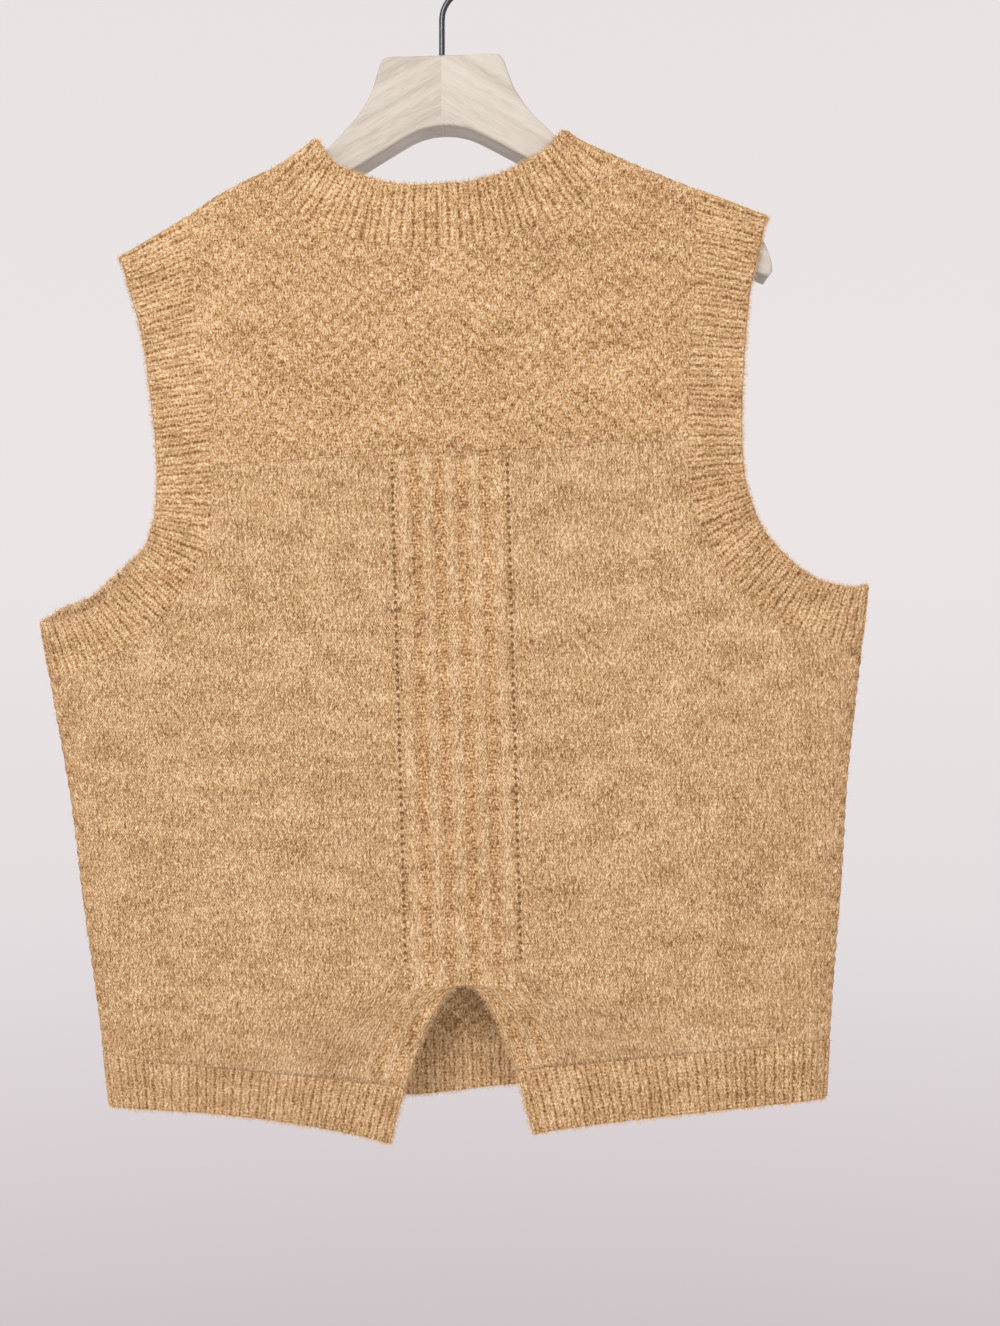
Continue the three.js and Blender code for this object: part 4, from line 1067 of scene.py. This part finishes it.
def make_fuzz(pieces, material, fibres, longest):
    """Thin curved fibres all over the knit, closest together where its surface turns away."""
    centres, normals, areas = [], [], []
    for piece in pieces:
        polygons = piece.data.polygons
        for key, width, store in (("center", 3, centres), ("normal", 3, normals), ("area", 1, areas)):
            values = np.empty(len(polygons) * width, np.float32)
            polygons.foreach_get(key, values)
            store.append(values.reshape(-1, width))
    centres, normals = np.concatenate(centres), np.concatenate(normals)
    areas = np.concatenate(areas)[:, 0]
    shown = np.concatenate([FUZZ_SHARES[piece.name] for piece in pieces])
    weights = areas * shown * (FLAT_FUZZ + TURNED_FUZZ * (1 - np.abs(normals[:, 1])) ** 2)
    chance = np.random.default_rng(FIBRE_SEED)
    picked = chance.choice(len(areas), fibres, p=weights / weights.sum())
    size = np.sqrt(areas[picked])[:, None]
    base = centres[picked] + chance.normal(0, 0.3, (fibres, 3)) * size
    first = normals[picked] + chance.normal(0, FIBRE_LEAN, (fibres, 3))
    first /= np.linalg.norm(first, axis=1, keepdims=True)
    second = first + chance.normal(0, FIBRE_BEND, (fibres, 3)) + np.array([0, 0, -FIBRE_DROOP])
    second /= np.linalg.norm(second, axis=1, keepdims=True)
    length = chance.uniform(FIBRE_SHORTEST, 1.0, (fibres, 1)) * longest
    start = base - normals[picked] * FIBRE_ROOT * MM
    knee = start + first * length * 0.5
    tip = knee + second * length * 0.5
    across = np.cross(first, [0.3, 0.5, 0.8])
    across /= np.linalg.norm(across, axis=1, keepdims=True)
    other = np.cross(first, across)
    points = []
    for centre, radius in ((start, FIBRE_RADIUS), (knee, FIBRE_RADIUS * FIBRE_TAPER)):
        for k in range(3):
            angle = 2 * math.pi * k / 3
            points.append(centre + (across * math.cos(angle) + other * math.sin(angle)) * radius * MM)
    points.append(tip)
    points = np.stack(points, axis=1).reshape(-1, 3)
    faces = (np.arange(fibres)[:, None, None] * 7 + FIBRE_FACES[None]).reshape(-1, 3)
    mesh = bpy.data.meshes.new("wool_fuzz")
    mesh.from_pydata(points.tolist(), [], faces.tolist())
    mesh.materials.append(material)
    mesh.update()
    return add_object("wool_fuzz", mesh)


# Materials
class Nodes:
    """A new node tree, of a material or the world, and the one helper that adds a node to it."""

    def __init__(self, owner):
        owner.use_nodes = True
        self.owner = owner
        self.tree = owner.node_tree
        self.tree.nodes.clear()

    def __call__(self, kind, *values, stops=(), **settings):
        """Adds a node, written as its kind and operation, and gives its first output.

        Values fill its inputs in order. Settings with a capital letter are inputs and the others are the
        node's own. Stops are the places and colours of a colour ramp.
        """
        kind, _, operation = kind.partition(" ")
        node = self.tree.nodes.new("ShaderNode" + kind)
        if operation:
            node.operation = operation
        inputs = dict(enumerate(values))
        for key, value in settings.items():
            if key[0].isupper():
                inputs[key] = value
            else:
                setattr(node, key, value)
        for key, value in inputs.items():
            if isinstance(value, bpy.types.NodeSocket):
                self.tree.links.new(value, node.inputs[key])
            else:
                node.inputs[key].default_value = value
        elements = node.color_ramp.elements if stops else ()
        while len(elements) < len(stops):
            elements.new(0.5)
        for element, (share, colour) in zip(elements, stops):
            element.position = share
            element.color = colour
        return node.outputs[0] if node.outputs else None

    def finish(self, colour, relief, strength, distance, settings):
        """Ends a material with a bumped surface, and gives the material."""
        bump = self("Bump", Strength=strength, Distance=distance, Height=relief)
        shader = self("BsdfPrincipled", **{"Base Color": colour, "Normal": bump}, **settings)
        self("OutputMaterial", shader)
        return self.owner


WOOL_FINISH = {
    "Roughness": 0.92,
    "Sheen Weight": 0.25,
    "Sheen Roughness": 0.5,
    "Sheen Tint": linear_colour("#ecc89e"),
    "Specular IOR Level": 0.2,
}
# Mean tone of each stitch, the share of its hairs, and the share of its broad relief painted into the
# colour as painted shade in the hollows and painted light on the ridges
TONE = {"plain": 0.55, "moss": 0.53, "rib": 0.53}
HAIR = {"plain": 2.0, "moss": 2.0, "rib": 1.3}
RELIEF_SHADE = {"plain": 0.09, "moss": 0.13, "rib": 0.21}


def wool_knit(name, stitch, colours):
    """Heathered lambswool, knitted plain, in rib or in moss stitch."""
    n = Nodes(bpy.data.materials.new(name))
    knit = n("UVMap", uv_map="knit")
    wale = n("SeparateXYZ", knit)
    course = wale.node.outputs[1]
    place = n("TexCoord").node.outputs["Object"]

    # The yarn is uneven, so stitches wander a little from their grid
    stray = n("Math SUBTRACT", n("TexNoise", place, Scale=260.0, Detail=1.0), 0.5)
    wale_here = n("Math MULTIPLY_ADD", stray, 0.9, wale)
    stray = n("Math SUBTRACT", n("TexNoise", place, Scale=330.0, Detail=1.0), 0.5)
    course_here = n("Math MULTIPLY_ADD", stray, 1.4, course)
    shifted = n("Math ADD", wale_here, 0.5)
    column = n("Math FLOOR", shifted)
    across = n("Math SUBTRACT", n("Math FRACT", shifted), 0.5)
    off = n("Math ABSOLUTE", across)

    # Legs of the knit stitches slant up from the middle of each wale
    slanted = n("Math MULTIPLY_ADD", off, -2.4, course_here)
    strand = n("Math SINE", n("Math MULTIPLY", n("Math FRACT", slanted), math.pi))
    groove = n("Math MULTIPLY_ADD", n("Math POWER", n("Math MULTIPLY", off, 2.0), 3.0), -0.75, 1.0)
    legs = n("Math MULTIPLY", strand, groove)

    # Purl bumps lie across the wale as small arcs
    arched = n("Math MULTIPLY_ADD", n("Math MULTIPLY", off, off), 1.6, course_here)
    bumps = n("Math ABSOLUTE", n("Math SINE", n("Math MULTIPLY", arched, math.pi)))

    # Broad relief from -1 in the hollows to 1 on the ridges of the pattern
    if stitch == "rib":
        rib = n("Math COSINE", n("Math MULTIPLY", wale_here, math.pi))
        legs_here = n("Math COSINE", n("Math MULTIPLY", wale_here, 2 * math.pi))
        purl = n("Math LESS_THAN", rib, -0.5)
        broad = n("Math MULTIPLY_ADD", rib, 0.35, n("Math MULTIPLY", legs_here, -0.85))
    elif stitch == "moss":
        turn = n("Math COSINE", n("Math MULTIPLY", wale_here, 2 * math.pi * WALE / MOSS_WIDTH))
        rise = n("Math COSINE", n("Math MULTIPLY", course_here, 2 * math.pi * COURSE / MOSS_HEIGHT))
        broad = n("Math TANGENT", n("Math MULTIPLY", n("Math MULTIPLY", turn, rise), 0.78))
        purl = n("Math LESS_THAN", broad, 0.0)
    else:
        offset = n("Math MULTIPLY", n("Math ABSOLUTE", wale), WALE)
        inside = n("Math MULTIPLY", n("Math LESS_THAN", offset, CENTRE_RIB_EDGE - 1),
                   n("Math LESS_THAN", course, YOKE_LEVEL / COURSE))
        wave = n("Math COSINE", n("Math MULTIPLY", offset, 2 * math.pi / CENTRE_RIB_PITCH))
        broad = n("Math MULTIPLY", n("Math SUBTRACT", wave, 0.1), inside)
        purl = n("Math LESS_THAN", broad, -0.35)
    knitted = n("Math MULTIPLY", legs, n("Math SUBTRACT", 1.0, purl))
    height = n("Math MULTIPLY_ADD", n("Math MULTIPLY", bumps, purl), 0.6, knitted)

    # Hairs lie along the two slants of the legs: 0.3 mm wide, drawn 1 mm wide so that they show
    hairs = []
    for slant in (-HAIR_SLANT, HAIR_SLANT):
        turned = n("Mapping", knit, Rotation=(0, 0, slant), Scale=HAIR_SCALE)
        hairs.append(n("TexNoise", turned, Scale=1.0, Detail=2.0, Roughness=0.6))
    hair = n("Math MAXIMUM", *hairs)

    # Heathered tones: one for each stitch leg, streaks of fibre along the yarn, level streaks and
    # patches, and painted shade from the stitch relief, darker in its grooves and lighter on its legs
    cell = n("CombineXYZ", column, n("Math FLOOR", slanted), n("Math SIGN", across))
    yarn = n("CombineXYZ", n("Math MULTIPLY", wale, 0.8), n("Math MULTIPLY", course, 1.5))
    streaked = n("VectorMath MULTIPLY", place, (0.35, 1.0, 1.0))
    tone = TONE[stitch]
    for part, share in (
        (n("TexWhiteNoise", cell, noise_dimensions="3D"), 0.22),
        (n("TexNoise", yarn, Scale=1.3, Detail=3.0, Roughness=0.65), 1.3),
        (n("TexNoise", place, Scale=900.0, Detail=2.0, Roughness=0.6), 0.9),
        (n("Math SUBTRACT", hair, 0.05), HAIR[stitch]),
        (n("TexNoise", streaked, Scale=110.0, Detail=3.0, Roughness=0.6), 0.5),
        (n("TexNoise", place, Scale=60.0, Detail=2.0), 0.3),
        # Painted shade: the stitch relief darkens the grooves and lightens the legs
        (height, 0.40),
    ):
        tone = n("Math ADD", tone, n("Math MULTIPLY", n("Math SUBTRACT", part, 0.5), share))
    # Painted shade and light: the broad relief darkens the hollows and lightens the ridges, so the ramp's
    # dark and pale ends hold painted shade and light as well as the yarn's heather
    tone = n("Math MULTIPLY_ADD", broad, RELIEF_SHADE[stitch], tone)
    colour = n("ValToRGB", tone, stops=[
        (0.00, colours.yarn_shadow),
        (0.25, colours.yarn_dark),
        (0.50, colours.yarn),
        (0.75, colours.yarn_pale),
        (1.00, colours.yarn_tip),
    ])

    if stitch == "plain":
        # Small holes beside the centre ribs: painted shade, a dark colour standing for the shaded inside
        # seen through them
        offset = n("Math SUBTRACT", n("Math ABSOLUTE", wale), CENTRE_RIB_EDGE / WALE)
        step = n("Math SUBTRACT", n("Math FRACT", n("Math MULTIPLY", course, COURSE / HOLE_PITCH)), 0.5)
        away = n("Math ADD", n("Math POWER", n("Math MULTIPLY", n("Math ABSOLUTE", offset), 2.6), 2.0),
                 n("Math POWER", n("Math MULTIPLY", n("Math ABSOLUTE", step), 4.2), 2.0))
        inside = n("Math MULTIPLY", n("Math GREATER_THAN", course, HOLE_END / COURSE),
                   n("Math LESS_THAN", course, (YOKE_LEVEL - 4) / COURSE))
        hole = n("Math MULTIPLY", n("Math LESS_THAN", away, 1.0), inside)
        share = n("Math MULTIPLY", hole, 0.75)
        colour = n("MixRGB", share, colour, colours.inside)
        height = n("Math MULTIPLY_ADD", hole, -1.6, height)

    fine = n("TexNoise", place, Scale=2200.0, Detail=2.0, Roughness=0.7)
    relief = n("Math MULTIPLY_ADD", fine, 0.5, n("Math MULTIPLY_ADD", hair, 1.2, height))
    return n.finish(colour, relief, 0.85, 0.0007, WOOL_FINISH)


def wool_fibre(name, colours):
    """Loose lambswool fibres that stand off the yarn and catch the light."""
    n = Nodes(bpy.data.materials.new(name))
    tone = n("TexNoise", n("TexCoord").node.outputs["Object"], Scale=400.0)
    colour = n("ValToRGB", tone, stops=[(0.3, colours.fibre_dark), (0.7, colours.fibre)])
    return n.finish(colour, tone, 0.1, 0.0001, {"Roughness": 0.8, "Specular IOR Level": 0.2})


def limed_ash(name, colours):
    """Limed ash, planed and left matt: white lime in the pores, grain mirrored at the centre seam."""
    n = Nodes(bpy.data.materials.new(name))
    place = n("TexCoord").node.outputs["Object"]
    x = n("SeparateXYZ", place)
    y, z = x.node.outputs[1], x.node.outputs[2]
    out = n("Math ABSOLUTE", x)
    along = n("Math MULTIPLY_ADD", out, 0.87, n("Math MULTIPLY", z, -0.5))
    across = n("Math MULTIPLY_ADD", out, 0.5, n("Math MULTIPLY", z, 0.87))
    depth = n("Math ADD", y, n("Math SIGN", x))
    grain = n("CombineXYZ", n("Math MULTIPLY", along, 0.06), across, depth)
    # Growth rings 4 to 8 mm apart, and pores 0.6 mm apart, drawn coarser than the real ones
    rings = n("TexNoise", grain, Scale=160.0, Detail=3.0, Roughness=0.6)
    pores = n("TexNoise", grain, Scale=1500.0)
    half = n("Math MULTIPLY", n("Math SIGN", x), 0.03)
    tone = n("Math ADD", n("Math MULTIPLY_ADD", rings, 0.55, n("Math MULTIPLY", pores, 0.5)), half)
    colour = n("ValToRGB", tone, stops=[
        (0.30, colours.wood_dark),
        (0.47, colours.wood),
        (0.62, colours.wood_pale),
        (0.80, colours.lime),
    ])
    return n.finish(colour, tone, 0.25, 0.0003, {"Roughness": 0.55, "Specular IOR Level": 0.35})


def drawn_steel(name, colours):
    """Bright drawn steel wire with faint lines along it; its colour is painted dark, a painted reflection
    of its surroundings.
    """
    n = Nodes(bpy.data.materials.new(name))
    lines = n("TexNoise", n("TexCoord").node.outputs["Object"], Scale=1800.0)
    colour = n("ValToRGB", lines, stops=[(0.3, colours.steel_dark), (0.7, colours.steel)])
    rough = n("Math MULTIPLY_ADD", lines, 0.12, 0.26)
    return n.finish(colour, lines, 0.1, 0.0001, {"Roughness": rough, "Metallic": 1.0})


def floor_paint(name, colours):
    """Matt pale floor paint with faint roller marks."""
    n = Nodes(bpy.data.materials.new(name))
    marks = n("TexNoise", n("TexCoord").node.outputs["Object"], Scale=3.0)
    colour = n("ValToRGB", marks, stops=[(0.3, colours.floor_dark), (0.7, colours.floor)])
    return n.finish(colour, marks, 0.05, 0.001, {"Roughness": 0.9})


SIDE_NAMES = {-1: "left", 1: "right"}
MATERIALS = {}


def material(name):
    """Makes each material once, when its first piece asks for it."""
    colours = bpy.context.scene.vest_colours
    if name not in MATERIALS:
        makers = {
            "plain": lambda: wool_knit("lambswool_plain_knit", "plain", colours),
            "moss": lambda: wool_knit("lambswool_moss_knit", "moss", colours),
            "rib": lambda: wool_knit("lambswool_rib_knit", "rib", colours),
            "fibre": lambda: wool_fibre("lambswool_fibre", colours),
            "wood": lambda: limed_ash("limed_ash", colours),
            "steel": lambda: drawn_steel("drawn_steel", colours),
            "floor": lambda: floor_paint("floor_paint", colours),
        }
        MATERIALS[name] = makers[name]()
    return MATERIALS[name]


def dress(obj, nodes=()):
    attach(obj, BODY_NAME)
    if nodes:
        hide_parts(*nodes)
    return obj


# Sizes and colours that a user would change
def colour_property(name, description, code):
    return bpy.props.FloatVectorProperty(
        name=name, description=description,
        default=linear_colour(code), subtype="COLOR", size=4, min=0, max=1)


class VestSizes(bpy.types.PropertyGroup):
    hook_radius: bpy.props.FloatProperty(
        name="Hook wire radius", description="Radius of the steel wire",
        default=WIRE_RADIUS * MM, min=0.001, max=0.003, unit="LENGTH")
    wood_easing: bpy.props.FloatProperty(
        name="Wood edges", description="Radius of the eased edges of the hanger",
        default=1.6 * MM, min=0.0005, max=0.003, unit="LENGTH")
    fibre_length: bpy.props.FloatProperty(
        name="Fibre length", description="Length of the longest loose fibre",
        default=4.4 * MM, min=0.001, max=0.01, unit="LENGTH")
    fibres: bpy.props.IntProperty(
        name="Fibres", description="Number of loose fibres over the whole knit",
        default=21000, min=100, max=22000)
    light_power: bpy.props.FloatProperty(
        name="Main light", description="Power of the large soft light", default=22.5, unit="POWER")
    fill_power: bpy.props.FloatProperty(
        name="Fill light", description="Power of the light on the other side", default=5.0, unit="POWER")
    back_power: bpy.props.FloatProperty(
        name="Back light", description="Power of the light behind", default=30.0, unit="POWER")
    surroundings: bpy.props.FloatProperty(
        name="Surroundings", description="Strength of the pale surroundings", default=1.0)


class VestColours(bpy.types.PropertyGroup):
    # The darkest and palest yarn colours also carry the painted shade of the knit's hollows and the
    # painted light on its ridges
    yarn_shadow: colour_property("Yarn shadow", "Darkest fibre of the heathered yarn", "#69492c")
    yarn_dark: colour_property("Dark yarn", "Darker fibre of the yarn", "#936f48")
    yarn: colour_property("Yarn", "Main colour of the yarn", "#b58f64")
    yarn_pale: colour_property("Pale yarn", "Paler fibre of the yarn", "#ceaa80")
    yarn_tip: colour_property("Yarn tips", "Palest fibre of the yarn", "#e5caa8")
    # Painted shade: the dark colour painted into the small holes stands for the shaded inside of the vest
    inside: colour_property("Inside", "Dark seen through the small holes", "#4e3018")
    fibre_dark: colour_property("Darker fibres", "Darker of the loose fibres", "#b99468")
    fibre: colour_property("Fibres", "Paler of the loose fibres", "#dfbf94")
    wood_dark: colour_property("Dark grain", "Darkest lines of the wood", "#91887d")
    wood: colour_property("Wood", "Main colour of the limed wood", "#a49b90")
    wood_pale: colour_property("Pale wood", "Paler bands of the wood", "#afa79c")
    lime: colour_property("Lime", "Lime left in the pores", "#b8b1a7")
    steel_dark: colour_property("Dark steel", "Darker lines of the wire", "#343438")
    steel: colour_property("Steel", "Main colour of the wire", "#5c5c62")
    floor_dark: colour_property("Floor marks", "Roller marks on the floor", "#e2dcdc")
    floor: colour_property("Floor", "Main colour of the floor", "#e8e3e3")


class VEST_OT_yoke(bpy.types.Operator):
    """Knit the moss-stitch yoke of the shown side"""
    bl_idname = "vest.yoke"
    bl_label = "Yoke"

    def execute(self, context):
        obj, cut = make_yoke(material("moss"))
        dress(obj, ["back_panel"])
        return {"FINISHED"}


class VEST_OT_body(bpy.types.Operator):
    """Knit the plain body of the shown side, with its centre ribs and split vent"""
    bl_idname = "vest.body"
    bl_label = "Body"

    def execute(self, context):
        obj, cut = make_body(material("plain"))
        dress(obj, ["back_panel"])
        return {"FINISHED"}


class VEST_OT_front(bpy.types.Operator):
    """Knit the panel behind, in moss stitch all over"""
    bl_idname = "vest.front"
    bl_label = "Front panel"

    def execute(self, context):
        obj, cut = make_front(material("moss"))
        dress(obj, ["front_panel"])
        return {"FINISHED"}


class VEST_OT_bands(bpy.types.Operator):
    """Knit the ribbed neckband and armbands"""
    bl_idname = "vest.bands"
    bl_label = "Neckband and armbands"

    def execute(self, context):
        obj, cut = make_neckband(material("rib"))
        dress(obj, ["neckband"])
        for hand in (-1, 1):
            obj, cut = make_armband(hand, material("rib"))
            dress(obj, ["armband_" + SIDE_NAMES[hand]])
        return {"FINISHED"}


class VEST_OT_hems(bpy.types.Operator):
    """Knit the ribbed hems"""
    bl_idname = "vest.hems"
    bl_label = "Hems"

    def execute(self, context):
        for hand in (-1, 1):
            name = "hem_back_" + SIDE_NAMES[hand]
            pitch = RIB_PITCH["hem_" + SIDE_NAMES[hand]]
            obj, cut = make_hem("rib_" + name, -1, hem_end_at_vent(hand), hem_end_at_seam(-1, hand),
                                BAND_DEPTH["hem_back"], pitch, material("rib"))
            dress(obj, [name])
        obj, cut = make_hem("rib_hem_front", 1, hem_end_at_seam(1, -1), hem_end_at_seam(1, 1),
                            BAND_DEPTH["hem_front"], RIB_PITCH["hem_front"], material("rib"))
        dress(obj, ["hem_front"])
        return {"FINISHED"}


class VEST_OT_fuzz(bpy.types.Operator):
    """Raise loose fibres on the knit"""
    bl_idname = "vest.fuzz"
    bl_label = "Fuzz"

    def execute(self, context):
        sizes = context.scene.vest_sizes
        pieces = [bpy.data.objects[name] for name in FUZZ_SHARES]
        dress(make_fuzz(pieces, material("fibre"), sizes.fibres, sizes.fibre_length))
        return {"FINISHED"}


class VEST_OT_hanger(bpy.types.Operator):
    """Finish the wooden hanger and bend its steel hook"""
    bl_idname = "vest.hanger"
    bl_label = "Hanger and hook"

    def execute(self, context):
        sizes = context.scene.vest_sizes
        for hand in (-1, 1):
            half = make_wood(hand, material("wood"), sizes.wood_easing / MM)
            dress(half, ["hanger_" + SIDE_NAMES[hand]])
        dress(make_hook(material("steel"), sizes.hook_radius), ["hook"])
        return {"FINISHED"}


SURROUNDINGS = ((0.0, "#cbc2c5"), (0.3, "#e4dddf"), (0.6, "#ebe5e5"), (1.0, "#e8e3e2"))
LIGHTS = (
    # name, place, target, size, power
    ("main_light", (-0.5, -1.3, 0.45), (-0.04, 0, -0.32), 1.0, "light_power"),
    ("fill_light", (0.35, -1.25, -0.6), (-0.05, 0, -0.4), 0.9, "fill_power"),
    ("back_light", (0.2, 2.2, 0.2), (0, 0, -0.4), 1.8, "back_power"),
)
FLOOR = {"radius": 1.5, "level": -1.6, "sides": 64}


def add_light(name, place, target, size, power):
    data = bpy.data.lights.new(name, "AREA")
    data.shape = "SQUARE"
    data.size = size
    data.energy = power
    obj = add_object(name, data)
    obj.location = place
    obj.rotation_euler = (Vector(target) - Vector(place)).to_track_quat("-Z", "Y").to_euler()


def add_world(strength):
    """Pale surroundings, a little darker low down."""
    world = bpy.data.worlds.new("pale_studio")
    n = Nodes(world)
    height = n("SeparateXYZ", n("TexCoord")).node.outputs[2]
    share = n("MapRange", height, -0.45, 0.45)
    colour = n("ValToRGB", share, stops=[(place, linear_colour(code)) for place, code in SURROUNDINGS])
    n("OutputWorld", n("Background", colour, strength))
    bpy.context.scene.world = world


class VEST_OT_stage(bpy.types.Operator):
    """Set the floor, the soft lights and the camera"""
    bl_idname = "vest.stage"
    bl_label = "Stage"

    def execute(self, context):
        mesh = bpy.data.meshes.new("studio_floor")
        radius, sides = FLOOR["radius"], FLOOR["sides"]
        ring = [(radius * math.cos(2 * math.pi * k / sides), radius * math.sin(2 * math.pi * k / sides),
                 FLOOR["level"]) for k in range(sides)]
        mesh.from_pydata(ring, [], [tuple(range(sides))])
        mesh.materials.append(material("floor"))
        add_object("studio_floor", mesh)
        sizes = context.scene.vest_sizes
        for name, place, target, size, power in LIGHTS:
            add_light(name, place, target, size, getattr(sizes, power))
        add_world(sizes.surroundings)
        camera = bpy.data.cameras.new("view")
        camera.sensor_fit = "VERTICAL"
        camera.sensor_height = SENSOR
        camera.lens = SENSOR * CAMERA_DISTANCE / PHOTO_HEIGHT_AT_WOOD
        camera.clip_start = 0.01
        obj = add_object("view", camera)
        obj.location = (CAMERA_ACROSS * MM, -CAMERA_DISTANCE * MM, (CAMERA_LEVEL - HOOK_DROP) * MM)
        obj.rotation_euler = (math.radians(90), 0, 0)
        context.scene.camera = obj
        context.scene.view_settings.view_transform = "Standard"
        return {"FINISHED"}


class VEST_PT_panel(bpy.types.Panel):
    """Lists the steps in their order"""
    bl_label = "Knitted vest"
    bl_idname = "VEST_PT_panel"
    bl_space_type = "VIEW_3D"
    bl_region_type = "UI"
    bl_category = "Vest"

    def draw(self, context):
        layout = self.layout
        for group in (context.scene.vest_sizes, context.scene.vest_colours):
            for key in type(group).__annotations__:
                layout.prop(group, key)
        for step in STEPS:
            layout.operator(step.bl_idname)


STEPS = (
    VEST_OT_yoke, VEST_OT_body, VEST_OT_front, VEST_OT_bands, VEST_OT_hems, VEST_OT_fuzz, VEST_OT_hanger,
    VEST_OT_stage,
)


def register():
    for item in (VestSizes, VestColours, *STEPS, VEST_PT_panel):
        bpy.utils.register_class(item)
    bpy.types.Scene.vest_sizes = bpy.props.PointerProperty(type=VestSizes)
    bpy.types.Scene.vest_colours = bpy.props.PointerProperty(type=VestColours)


def unregister():
    del bpy.types.Scene.vest_colours
    del bpy.types.Scene.vest_sizes
    for item in (VEST_PT_panel, *reversed(STEPS), VestColours, VestSizes):
        bpy.utils.unregister_class(item)


def main():
    register()
    bpy.ops.vest.yoke()
    bpy.ops.vest.body()
    bpy.ops.vest.front()
    bpy.ops.vest.bands()
    bpy.ops.vest.hems()
    bpy.ops.vest.fuzz()
    bpy.ops.vest.hanger()
    bpy.ops.vest.stage()


if __name__ == "__main__":
    main()
